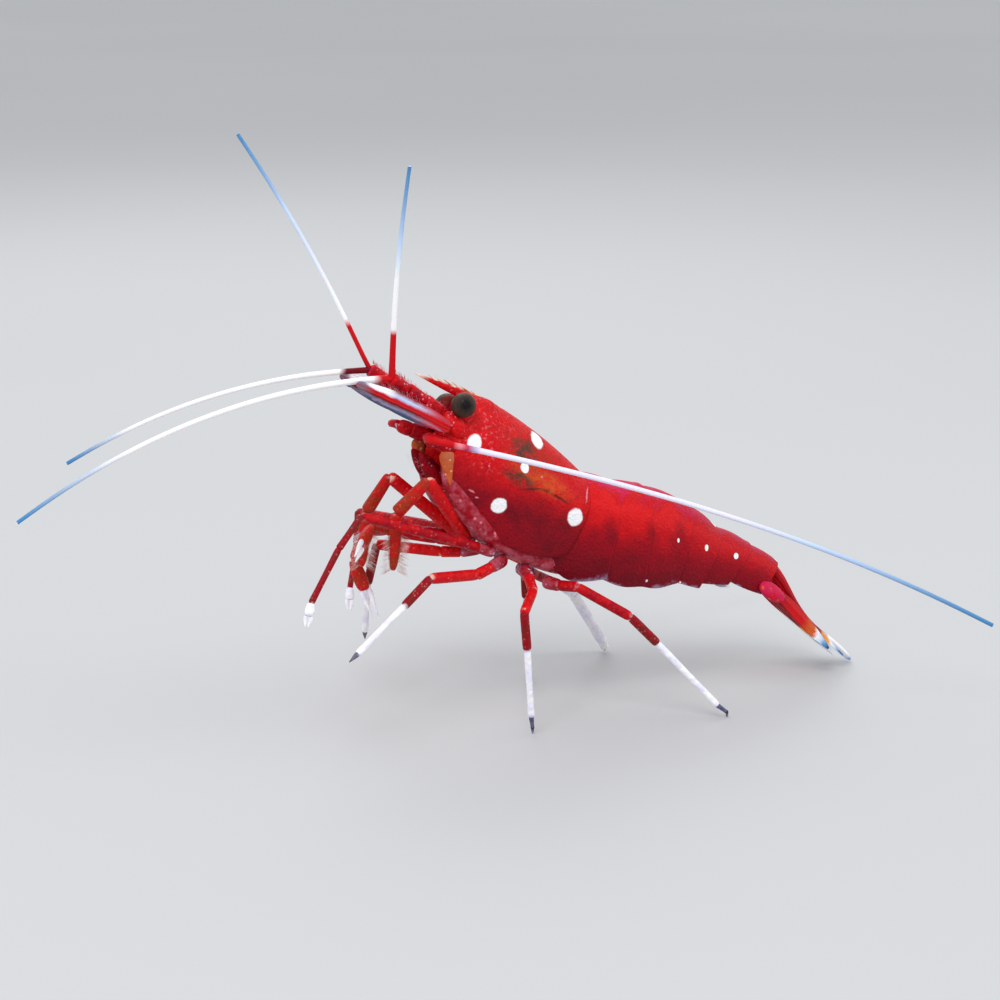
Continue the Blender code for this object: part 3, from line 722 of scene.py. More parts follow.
@dataclass(frozen=True)
class CarapaceFinish:
    """Red with painted light and shade, scarlet above and crimson below, with white spots of
    uneven outline.
    """

    spots: tuple[Spot, ...] = (
        Spot((-0.45, 3.30, 1.66), (0.60, 1.1, 0.80)),
        Spot((5.05, 1.80, 4.66), (0.68, 0.9, 1.25)),
        Spot((4.32, 3.90, 1.93), (0.45, 0.8, 0.39)),
        Spot((3.76, 3.91, -1.80), (0.64, 1.0, 0.64)),
        Spot((10.50, 3.87, 0.44), (0.74, 1.1, 0.74)),
        Spot((1.45, 0.0, 5.3), (0.30, 0.35, 0.5)))
    flecks: tuple[Spot, ...] = (
        Spot((1.26, 3.41, -1.87), (0.30, 0.6, 0.07)),
        Spot((1.90, 3.50, -2.13), (0.16, 0.6, 0.07)),
        Spot((1.47, 3.79, 0.65), (0.08, 0.6, 0.08)),
        Spot((6.10, 3.88, 1.89), (0.09, 0.6, 0.09)),
        Spot((11.0, 2.60, 2.50), (0.10, 1.0, 0.70)))
    band: Spot = Spot((6.2, 3.9, 1.75), (2.9, 2.0, 0.85))
    crown: Spot = Spot((4.6, 2.9, 3.4), (2.4, 1.6, 1.5))
    stains: tuple[Spot, ...] = (
        Spot((3.9, 3.0, 3.1), (1.2, 1.3, 1.1)),
        Spot((4.2, 3.9, 0.90), (1.5, 1.2, 0.50)))

    @staticmethod
    def flesh(pot: Recipe, uneven: Socket) -> Socket:
        """Mix the ground colour: red, with painted light making it scarlet above a slanting line
        and painted shade making it crimson to wine below.

        Args:
            pot: The recipe.
            uneven: The place along the carapace, shifted a little.

        Returns:
            The colour.
        """
        back, up = pot.part(uneven, 0), pot.part(uneven, 2)
        clouds = pot.noise(pot.place(), 0.55, 4.0, 0.6)
        # Painted light and shade: the red is mixed brighter above the slanting line and darker
        # below it.
        upper = pot.tint(pot.span(clouds, 0.35, 0.70), Ink.SCARLET, Ink.BRIGHT)
        lower = pot.tint(pot.span(clouds, 0.25, 0.60), Ink.WINE, Ink.CRIMSON)
        line = pot.plus(pot.times(back, 0.11), 0.1)
        above = pot.number("SUBTRACT", up, line)
        flesh = pot.tint(pot.span(above, -2.4, 0.6), lower, upper)
        # Painted shade: wine laid over the rear and lower part of the shield.
        return pot.over(flesh, Ink.WINE, pot.span(back, 3.0, 9.0), pot.span(up, 1.5, -2.5), 0.55)

    def markings(self, pot: Recipe, flesh: Socket, place: Socket, uneven: Socket) -> Socket:
        """Lay the painted shadow along the crease, the orange band and the olive stains of the
        gill cover on.

        Args:
            pot: The recipe.
            flesh: The colour under them.
            place: The place along the carapace.
            uneven: The same, shifted a little.

        Returns:
            The colour.
        """
        back = pot.part(uneven, 0)
        # Painted shadow: a near-black line laid along the crease, from about 4 to 9.6 mm back.
        fold = pot.span(pot.part(place, 0), 3.4, 7.2, -0.15, 1.18)
        crease = pot.number("SUBTRACT", pot.part(place, 2), fold)
        flesh = pot.over(
            flesh, Ink.BLACK, pot.span(crease, -0.22, -0.02), pot.span(crease, 0.12, 0.02),
            pot.span(back, 4.0, 6.0), pot.span(back, 9.6, 8.8), 0.9)
        broken = pot.span(pot.noise(pot.place(), 1.3, 4.0, 0.7), 0.30, 0.62)
        for spot, edge, ink, strength in (
                (self.band, 0.5, Ink.ORANGE, 0.75), (self.crown, 0.7, Ink.RUST, 0.7),
                *((stain, 0.45, Ink.OLIVE, 0.9) for stain in self.stains)):
            mask = pot.spot(uneven, spot.centre, spot.reach, edge)
            flesh = pot.over(flesh, ink, mask, broken, strength)
        return flesh

    def make(self) -> Skin:
        """Mix the carapace's material.

        Returns:
            The material.
        """
        pot = Recipe("carapace_shell")
        place = pot.bench_place(CARAPACE_FRONT, CARAPACE_PITCH)
        uneven = pot.wobble(place, 0.9, 0.55)
        back, up = pot.part(uneven, 0), pot.part(uneven, 2)
        fine = pot.noise(pot.place(), 3.2, 3.0, 0.7)
        flesh = self.markings(pot, self.flesh(pot, uneven), place, uneven)
        flesh = pot.over(flesh, Ink.WINE, pot.span(fine, 0.52, 0.72, 0.0, 0.50))
        flesh = pot.over(flesh, Ink.PINK, pot.span(fine, 0.44, 0.32), pot.span(back, 4.5, 0.5),
                         pot.span(up, -1.0, 1.5), 0.40)
        flesh = pot.over(flesh, Ink.CREAM, pot.span(pot.part(place, 1), 0.22, 0.08),
                         pot.span(back, 3.6, 1.6), 0.6)
        for fleck in self.flecks:
            mask = pot.spot(uneven, fleck.centre, fleck.reach, 0.35)
            flesh = pot.over(flesh, Ink.PINK, mask, 0.8)
        ragged = pot.wobble(place, 1.6, 0.28)
        for spot in self.spots:
            flesh = pot.over(flesh, Ink.WHITE, pot.spot(ragged, spot.centre, spot.reach))
        pot.surface(flesh)
        pot.relief(pot.plus(pot.grains(pot.place(), 4.5), fine), 0.35)
        return pot.material


@dataclass(frozen=True)
class PlateFinish:
    """The abdomen's plates: magenta along the back, then red flanks with painted light high up and
    painted shade, crimson to wine, lower down.
    """

    dots: tuple[Spot, ...] = (
        Spot((7.43, 3.63, 13.78), (0.11, 0.5, 0.19)),
        Spot((10.41, 3.11, 12.71), (0.21, 0.5, 0.26)),
        Spot((13.58, 2.51, 11.54), (0.27, 0.5, 0.25)),
        Spot((12.3, 0.0, 14.2), (0.50, 1.2, 0.60)),
        Spot((18.75, 0.0, 10.15), (0.45, 0.8, 0.50)),
        Spot((7.9, 3.2, 9.98), (0.10, 0.6, 0.10)),
        Spot((4.47, 3.61, 10.61), (0.12, 0.6, 0.12)))
    blotches: tuple[Spot, ...] = (
        Spot((0.90, 3.9, 15.4), (0.55, 1.2, 0.9)),
        Spot((7.70, 3.6, 14.3), (0.55, 1.2, 0.8)),
        Spot((4.70, 3.8, 14.9), (0.5, 1.2, 0.8)),
        Spot((3.07, 3.9, 12.6), (0.9, 1.2, 0.5)))
    # Painted light and shade down the flank: bright red high up, crimson and wine lower down.
    stops: tuple[Stop, ...] = (
        (0.00, Ink.MAGENTA), (0.05, Ink.MAGENTA), (0.13, Ink.SCARLET), (0.22, Ink.BRIGHT),
        (0.38, Ink.SCARLET), (0.58, Ink.CRIMSON), (0.90, Ink.WINE))

    def make(self) -> Skin:
        """Mix the plates' material.

        Returns:
            The material.
        """
        pot = Recipe("abdomen_plate")
        place = pot.bench_place(Vector())
        uneven = pot.wobble(place, 0.8, 0.5)
        clouds = pot.noise(pot.place(), 0.6, 4.0, 0.6)
        fine = pot.noise(pot.place(), 3.4, 3.0, 0.7)
        down = pot.plus(pot.kept("around"), pot.span(clouds, 0.2, 0.8, -0.10, 0.10))
        # Painted shade: crimson laid over the plates towards the rear.
        flesh = pot.over(pot.bands(down, self.stops), Ink.CRIMSON,
                         pot.span(pot.part(uneven, 0), 2.0, 14.0), 0.40)
        for blotch in self.blotches:
            mask = pot.spot(uneven, blotch.centre, blotch.reach, 0.8)
            flesh = pot.over(flesh, Ink.WINE, mask, 0.45)
        # The magenta on each plate's rear rim is partly the rim's own colour and partly a painted
        # highlight along its edge.
        for ink, mask in (
                (Ink.MAGENTA, pot.span(pot.kept("along"), 0.10, 0.0, 0.0, 0.25)),
                (Ink.LAVENDER, pot.span(down, 0.97, 1.06, 0.0, 0.6)),
                (Ink.WINE, pot.span(fine, 0.52, 0.80, 0.0, 0.35)),
                (Ink.PINK, pot.span(fine, 0.22, 0.36, 0.12, 0.0))):
            flesh = pot.over(flesh, ink, mask)
        ragged = pot.wobble(place, 1.6, 0.16)
        for dot in self.dots:
            flesh = pot.over(flesh, Ink.WHITE, pot.spot(ragged, dot.centre, dot.reach))
        pot.surface(flesh)
        pot.relief(pot.plus(pot.grains(pot.place(), 4.5), fine), 0.35)
        return pot.material


@dataclass(frozen=True)
class FleshFinish:
    """A mottled finish: two flesh colours, blotches and pale grains."""

    name: str
    base: Ink
    other: Ink
    speckle: Ink
    share: float = 0.35
    per_mm: float = 3.0
    joint: Ink | None = None
    tip: Ink | None = None

    def make(self) -> Skin:
        """Mix the material.

        Returns:
            The material.
        """
        pot = Recipe(self.name)
        place = pot.place()
        clouds = pot.noise(place, 0.9, 3.0, 0.6)
        grains = pot.grains(place, self.per_mm)
        few = pot.noise(place, 1.4, 2.0)
        flesh = pot.tint(pot.span(clouds, 0.36, 0.66), self.base, self.other)
        flesh = pot.over(flesh, self.speckle, pot.span(grains, 0.34, 0.16),
                         pot.span(few, 0.45, 0.60), self.share * 2.0)
        if self.tip is not None:
            flesh = pot.over(flesh, self.tip, pot.span(pot.kept("along"), 0.75, 0.95))
        if self.joint is not None:
            along = pot.kept("along")
            ends = pot.number("MAXIMUM", pot.span(along, 0.05, 0.0), pot.span(along, 0.95, 1.0))
            flesh = pot.over(flesh, self.joint, ends, pot.span(few, 0.50, 0.62), 0.75)
        pot.surface(flesh, glow=0.18)
        pot.relief(pot.plus(grains, clouds), 0.3)
        return pot.material


@dataclass(frozen=True)
class WhipFinish:
    """A whip's bands from its root to its tip, with fine rings across it."""

    name: str
    stops: tuple[Stop, ...]
    rings: float

    def make(self) -> Skin:
        """Mix the whip's material.

        Returns:
            The material.
        """
        pot = Recipe(self.name)
        along = pot.part(pot.node("UVMap", {}, uv_map="UVMap").outputs[0], 0)
        soft = pot.noise(pot.place(), 0.35, 2.0)
        shifted = pot.plus(along, pot.span(soft, 0.2, 0.8, -0.012, 0.012))
        wave = pot.number("SINE", pot.times(along, self.rings * math.tau))
        flesh = pot.over(
            pot.bands(shifted, self.stops), Ink.GREY, pot.span(wave, 0.35, 1.0, 0.0, 0.04))
        pot.surface(flesh, 0.45, 0.0, 0.2)
        pot.relief(wave, 0.08)
        return pot.material


@dataclass(frozen=True)
class BandFinish:
    """Colours in bands along a blade, broken up where they meet, with fine ribs, and painted
    shade: darker at the edges and paler along the midrib near the root.
    """

    name: str
    stops: tuple[Stop, ...]
    rim: Ink
    rib: Ink

    def make(self) -> Skin:
        """Mix the blade's material.

        Returns:
            The material.
        """
        pot = Recipe(self.name)
        place = pot.place()
        along, across = pot.kept("along"), pot.kept("across")
        blur = pot.span(pot.noise(place, 1.3, 3.0, 0.6), 0.2, 0.8, -0.035, 0.035)
        flesh = pot.bands(pot.plus(along, blur), self.stops)
        inner = pot.span(along, 0.62, 0.50)
        # Painted shade and light: the rim colour darkens the blade's edges and the rib colour
        # lightens its midrib.
        flesh = pot.over(flesh, self.rim, pot.span(across, 0.80, 1.0, 0.0, 0.75), inner)
        flesh = pot.over(flesh, self.rib, pot.span(across, 0.0, 0.14, 0.6, 0.0), inner)
        ribs = pot.number("SINE", pot.times(across, 26.0))
        pot.surface(flesh, glow=0.2)
        pot.relief(pot.plus(ribs, pot.noise(place, 3.0)), 0.35)
        return pot.material


@dataclass(frozen=True)
class ScaleFinish:
    """The antennal scale: a lavender rib, a white blotch near the tip and a blue edge."""

    stops: tuple[Stop, ...] = (
        (0.00, Ink.STEEL), (0.14, Ink.GREY), (0.27, Ink.WINE), (0.40, Ink.SCARLET),
        (0.60, Ink.SCARLET), (0.68, Ink.LAVENDER), (0.86, Ink.ICE), (1.0, Ink.CRIMSON))

    def make(self) -> Skin:
        """Mix the scale's material.

        Returns:
            The material.
        """
        pot = Recipe("scale_skin")
        along, across = pot.kept("along"), pot.kept("across")
        blur = pot.noise(pot.place(), 0.9, 3.0, 0.6)
        shifted = pot.plus(across, pot.span(blur, 0.2, 0.8, -0.08, 0.08))
        flesh = pot.bands(pot.span(shifted, -1.0, 1.0), self.stops)
        flesh = pot.over(flesh, Ink.SCARLET, pot.span(along, 0.45, 0.12), 0.92)
        flesh = pot.over(flesh, Ink.GREY, pot.span(along, 0.80, 0.95), 0.8)
        flesh = pot.over(flesh, Ink.WHITE, pot.span(along, 0.58, 0.70),
                         pot.span(along, 0.93, 0.86), pot.span(shifted, 0.15, 0.32))
        streak = pot.number("ABSOLUTE", pot.plus(shifted, 0.62))
        flesh = pot.over(flesh, Ink.LAVENDER, pot.span(streak, 0.12, 0.04), 0.4)
        pot.surface(flesh, 0.40, 0.08, 0.2)
        pot.relief(pot.number("SINE", pot.times(across, 22.0)), 0.35)
        return pot.material


@dataclass(frozen=True)
class EyeFinish:
    """An olive-brown eye: a dark middle, a pale ring, and a fine faceted grain with painted
    lavender glints on it.
    """

    centre: Place
    look: Place
    stops: tuple[Stop, ...] = (
        (0.0, Ink.BLACK), (0.18, Ink.BLACK), (0.34, Ink.UMBER), (0.58, Ink.OLIVE),
        (0.85, Ink.OLIVE), (1.0, Ink.BROWN))

    def make(self) -> Skin:
        """Mix the eye's material.

        Returns:
            The material.
        """
        pot = Recipe("eye_cornea")
        place = pot.wobble(pot.bench_place(Vector()), 1.5, 0.12)
        pupil = Vector(self.centre) + Vector(self.look) * 0.95
        away = pot.length(pot.vector("SUBTRACT", place, pupil))
        flesh = pot.bands(pot.number("DIVIDE", away, 1.6), self.stops)
        facets_and_glints = pot.grains(pot.place(), 9.0)
        # Painted glints: lavender laid on the eye's faceted grain.
        flesh = pot.over(flesh, Ink.LAVENDER, pot.span(facets_and_glints, 0.05, 0.25, 0.12, 0.0))
        pot.surface(flesh, 0.38, 0.06, 0.0)
        pot.feed(pot.shader, {"Coat Roughness": 0.04})
        pot.relief(facets_and_glints, 0.25)
        return pot.material


@dataclass(frozen=True)
class GlassFinish:
    """Clear chitin with a tint: bristles, fringes and thin swimming blades."""

    name: str
    ink: Ink
    clear: float

    def make(self) -> Skin:
        """Mix the material.

        Returns:
            The material.
        """
        pot = Recipe(self.name)
        mottle = pot.noise(pot.place(), 1.2, 3.0)
        pot.surface(pot.tint(pot.span(mottle, 0.3, 0.7), self.ink, Ink.WHITE), 0.35, glow=0.0)
        pot.feed(pot.shader, {"Transmission Weight": self.clear})
        pot.relief(mottle, 0.2)
        return pot.material


@dataclass
class Hoop:
    """One rib of a shell: its top, its lowest point, its half width and its forward bow."""

    top: Vector
    low: Vector
    half_width: float
    bow: float = 0.3

    @property
    def depth(self) -> float:
        """How far the lowest point lies from the top."""
        return (self.low - self.top).length

    @property
    def tilt(self) -> float:
        """The rib's turn about +Y from upright."""
        rise = (self.top - self.low).normalized()
        return math.atan2(rise.x, rise.z)

    def lean(self, share: float) -> float:
        """How far the rib bows forward at a share of its depth."""
        return self.bow * math.sin(math.pi * min(max(share, 0.0), 1.0) ** 0.85)

    def axes(self) -> Matrix:
        """The rib's own axes: rearwards, to the right and up."""
        return Matrix.Rotation(self.tilt, 4, "Y")

    def share(self, place: Vector) -> Station:
        """How far a place stands off the rib's plane, and its share of the depth."""
        local = self.axes().inverted() @ (place - self.top)
        return abs(local.x), -local.z / self.depth


@dataclass
class ArchShell:
    """A thin arched shell, drawn out rib by rib from its rear."""

    hoops: Sequence[Hoop]
    wall: float = 0.16
    crown_steps: int = 8
    flank_steps: int = 7
    crown: float = 0.6
    tuck: float = 0.10

    def rib(self, name: str) -> Piece:
        """Shape the first rib: a half ring whose two ends are drawn down for the flanks.

        Args:
            name: The piece's name.

        Returns:
            The rib as a row of edges, hung from the origin.
        """
        hoop = self.hoops[0]
        crown = min(self.crown, hoop.half_width / hoop.depth)
        upright = Matrix.Rotation(math.pi / 2.0, 4, "Y")
        piece = start_ring(name, 1.0, 4 * self.crown_steps, upright, filled=False)
        settle(piece)
        pick(piece, lambda place: place.z < -1e-4)
        bpy.ops.mesh.delete(type="VERT")
        bpy.ops.mesh.select_all(action="SELECT")
        bpy.ops.transform.resize(
            value=(1.0, hoop.half_width, crown * hoop.depth), center_override=(0.0, 0.0, 0.0))
        bpy.ops.transform.translate(value=(0.0, 0.0, -crown * hoop.depth))
        leave()
        low = -crown * hoop.depth
        step = (1.0 - crown) * hoop.depth / self.flank_steps
        pick(piece, lambda place: place.z < low + 1e-4)
        for count in range(self.flank_steps):
            before = 1.0 - self.tuck * (count / self.flank_steps) ** 2
            after = 1.0 - self.tuck * ((count + 1) / self.flank_steps) ** 2
            draw_out(Vector((0.0, 0.0, -step)), Vector(), (1.0, after / before, 1.0))
        leave()
        for level in sorted({round(point.co.z, 3) for point in piece.data.vertices}):
            share = min(max(-level / hoop.depth, 0.0), 1.0)
            lean = hoop.lean(share)
            pick(piece, lambda place, level=level: abs(place.z - level) < 2e-3)
            bpy.ops.transform.translate(value=(-lean, 0.0, 0.0))
            leave()
        return piece

    def model(self, name: str) -> Piece:
        """Draw the shell out along its hoops.

        Args:
            name: The piece's name.

        Returns:
            The shell without its thickness, marked "around" from its top to its edge and
            "along" from its first hoop to its last.
        """
        piece = self.rib(name)
        first = self.hoops[0]
        piece.data.transform(Matrix.Translation(first.top) @ first.axes())
        edit(piece)
        for before, hoop in zip(self.hoops, self.hoops[1:]):
            widen = (hoop.bow / before.bow, hoop.half_width / before.half_width,
                     hoop.depth / before.depth)
            draw_out(hoop.top - before.top, hoop.top, widen, hoop.tilt - before.tilt, hoop.axes())
        bpy.ops.mesh.select_all(action="SELECT")
        bpy.ops.mesh.normals_make_consistent(inside=False)
        leave()
        last = len(self.hoops) - 1
        points = piece.data.vertices
        row = len(points) // len(self.hoops)
        keep(piece, "around", [self.hoops[count // row].share(point.co)[1]
                               for count, point in enumerate(points)])
        keep(piece, "along", [(count // row) / last for count in range(len(points))])
        return piece

    def thicken(self, piece: Piece) -> None:
        """Give the shell its wall, inward from its outer face."""
        modify(piece, "SOLIDIFY", thickness=self.wall, offset=-1.0)


@dataclass
class Carapace:
    """The shield over the head and thorax, with its rostrum.

    The ridge is given by its height, by how far its front dips, and by how it falls with
    the square of the way back. The margin is given by its height and by how it rises with
    the cube. A notch is given by its share of the front rim's depth, its half length and
    how far it cuts in: a cut below zero is a spine.
    """

    eaves: float = -2.0
    back: float = 10.75
    lower: tuple[float, float] = (3.9, 11.25)
    half_widths: Place = (3.0, 4.15, 3.9)
    bows: tuple[float, float] = (2.8, 0.3)
    ridge: Place = (5.42, 0.34, 0.0112)
    margin: tuple[float, float] = (-4.5, 0.0036)
    ribs: int = 13
    overhang: float = 1.085
    wall: float = 0.22
    rim: float = 0.25
    rim_depth: float = 2.0
    notches: tuple[Place, ...] = ((0.12, 0.05, 0.85), (0.20, 0.05, 0.30), (0.27, 0.03, -0.42),
                                  (0.62, 0.03, -0.22))
    rostrum_base: Place = (-8.9, 0.0, 26.1)
    rostrum_pitch: float = 26.5
    rostrum_length: float = 6.85
    blade: tuple[Station, ...] = ((0.0, 0.36), (1.4, 0.42), (2.6, 0.37), (3.8, 0.29),
                                  (5.0, 0.20), (6.2, 0.10), (6.85, 0.02))
    spine: tuple[Station, ...] = ((0.0, 0.12), (0.15, 0.105), (0.45, 0.065), (0.75, 0.035),
                                  (1.0, 0.008))
    teeth: tuple[tuple[float, float], ...] = (
        (-0.14, 1.2), (0.02, 1.4), (0.15, 1.5), (0.28, 1.5), (0.41, 1.4), (0.54, 1.3),
        (0.66, 1.1))

    def hoop(self, share: float) -> Hoop:
        """Give one rib.

        Args:
            share: Its share of the way from the front to the rear.

        Returns:
            The rib.
        """
        back, below = mix(self.eaves, self.back, share), mix(*self.lower, share)
        front, middle, rear = self.half_widths
        bulge = math.sin(min(share / 0.5, 1.0) * math.pi / 2.0)
        width = mix(front, middle, bulge) - (middle - rear) * max(share / 0.5 - 1.0, 0.0) ** 2
        height, dip, fall = self.ridge
        top = height - dip * max(1.0 - 5.0 * share, 0.0) - fall * back ** 2
        low = self.margin[0] + self.margin[1] * max(below - self.lower[0], 0.0) ** 3
        return Hoop(on_carapace(back, 0.0, top), on_carapace(below, 0.0, low), width,
                    mix(*self.bows, share ** 0.7))

    def cuts(self, notch: Place, front: Hoop, place: Vector) -> bool:
        """Say whether a notch moves the point at a place.

        Args:
            notch: The notch.
            front: The front rib.
            place: The point's place.

        Returns:
            Whether it is on the front rim, within the notch's reach.
        """
        share, reach, _ = notch
        edge = front.top.lerp(front.low, share).x + self.rim_depth
        off, down = front.share(place)
        return off > front.lean(down) - self.rim and abs(down - share) < reach and place.x < edge

    def shield(self) -> Piece:
        """Model the shield with its eye notches and its cheek spines.

        Returns:
            The shield, closed.
        """
        hoops = [self.hoop(self.overhang * (1.0 - (step / self.ribs) ** 0.85))
                 for step in range(self.ribs + 1)]
        arch = ArchShell(hoops, wall=self.wall)
        piece = arch.model("carapace_shield")
        front = hoops[-1]
        for notch in self.notches:
            pick(piece, lambda place, notch=notch: self.cuts(notch, front, place))
            cut = Vector((notch[2], 0.0, 0.0))
            bpy.ops.transform.translate(value=front.axes().to_3x3() @ cut)
            leave()
        arch.thicken(piece)
        return piece

    def rostrum(self) -> Piece:
        """Model the beak: a thin blade with slender spines that lean forward.

        Returns:
            The beak.
        """
        pitch = math.radians(self.rostrum_pitch)
        along = Vector((-math.cos(pitch), 0.0, math.sin(pitch)))
        rise = Vector((math.sin(pitch), 0.0, math.cos(pitch)))
        turn = aim(along, rise)
        blade = turned("blade", self.blade, 12, 0.5)
        spine = turned("spine", self.spine, 8, 0.7)
        coat(blade, FleshFinish(
            "beak_red", Ink.SCARLET, Ink.BRIGHT, Ink.PINK, 0.2, tip=Ink.CREAM).make())
        coat(spine, FleshFinish("beak_spine", Ink.CREAM, Ink.PEACH, Ink.PINK, 0.2).make())
        base = Vector(self.rostrum_base)
        pieces = [copied(blade, base, turn)]
        for share, size in self.teeth:
            top = 0.38 * (1.0 - 0.75 * max(share - 0.3, 0.0) / 0.7)
            place = base + along * self.rostrum_length * share + rise * (top - 0.13)
            pieces.append(copied(spine, place, aim(along * 0.975 + rise * 0.22, rise), size))
        discard((blade, spine))
        return join("rostrum_beak", pieces)

    def build(self) -> None:
        """Model and dress the shield and the beak."""
        shield = self.shield()
        coat(shield, CarapaceFinish().make())
        finish(shield, ("carapace",), 70.0, 2)
        finish(self.rostrum(), ("rostrum",), 60.0, 1)


@dataclass
class Trunk:
    """The flesh under the shield: the head's front and the thorax between the legs."""

    flank: tuple[tuple[float, float, float, float], ...] = (
        (-1.4, 2.1, -1.0, 0.45), (-0.4, 2.5, -2.1, 0.85), (1.6, 2.6, -3.25, 1.05),
        (4.2, 2.6, -3.95, 1.10), (7.0, 2.5, -4.15, 1.10), (9.6, 2.35, -3.90, 1.10),
        (12.0, 2.2, -3.6, 1.05), (13.8, 2.0, -3.3, 0.60))
    cheek: tuple[Place, ...] = ((-11.75, 2.1, 24.2), (-13.4, 1.95, 26.1))

    def bed(self, side: Side) -> Piece:
        """Model the flesh that the legs of one side are rooted in."""
        points = [on_carapace(back, out * side.value, up) for back, out, up, _ in self.flank]
        return whip("flank_" + side.letter, points, [ring[3] for ring in self.flank])

    def build(self) -> None:
        """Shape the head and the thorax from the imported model, and add the soft parts."""
        # The head's red is painted brighter than the thorax's: the flesh's own red plus painted
        # light that lifts the shade it sits in under the shield.
        skins = {
            "head": FleshFinish("head_skin", Ink.BRIGHT, Ink.SCARLET, Ink.PINK, 0.6, 3.0).make(),
            "thorax": FleshFinish(
                "breast_skin", Ink.CRIMSON, Ink.ROSE, Ink.PINK, 0.35, 1.8).make()}
        cheek = turned("cheek", ((-0.6, 0.30), (-0.2, 0.78), (0.6, 1.05), (1.5, 1.0), (2.2, 0.65),
                                 (2.5, 0.2)), 16, 0.85)
        coat(cheek, skins["head"])
        for side in Side:
            piece = self.bed(side)
            coat(piece, skins["thorax"])
            finish(piece, (), 80.0, 1)
            root, end = side.mirror(self.cheek[0]), side.mirror(self.cheek[1])
            lump = copied(cheek, root, aim(end - root))
            lump.name = "cheek_" + side.letter
            finish(lump, (), 80.0, 1)
        discard((cheek,))
        for node in skins:
            piece = from_frame(node, node + "_flesh")
            coat(piece, skins[node])
            modify(piece, "BEVEL", width=0.12, segments=1, limit_method="ANGLE")
            finish(piece, (node,), 80.0, 2)


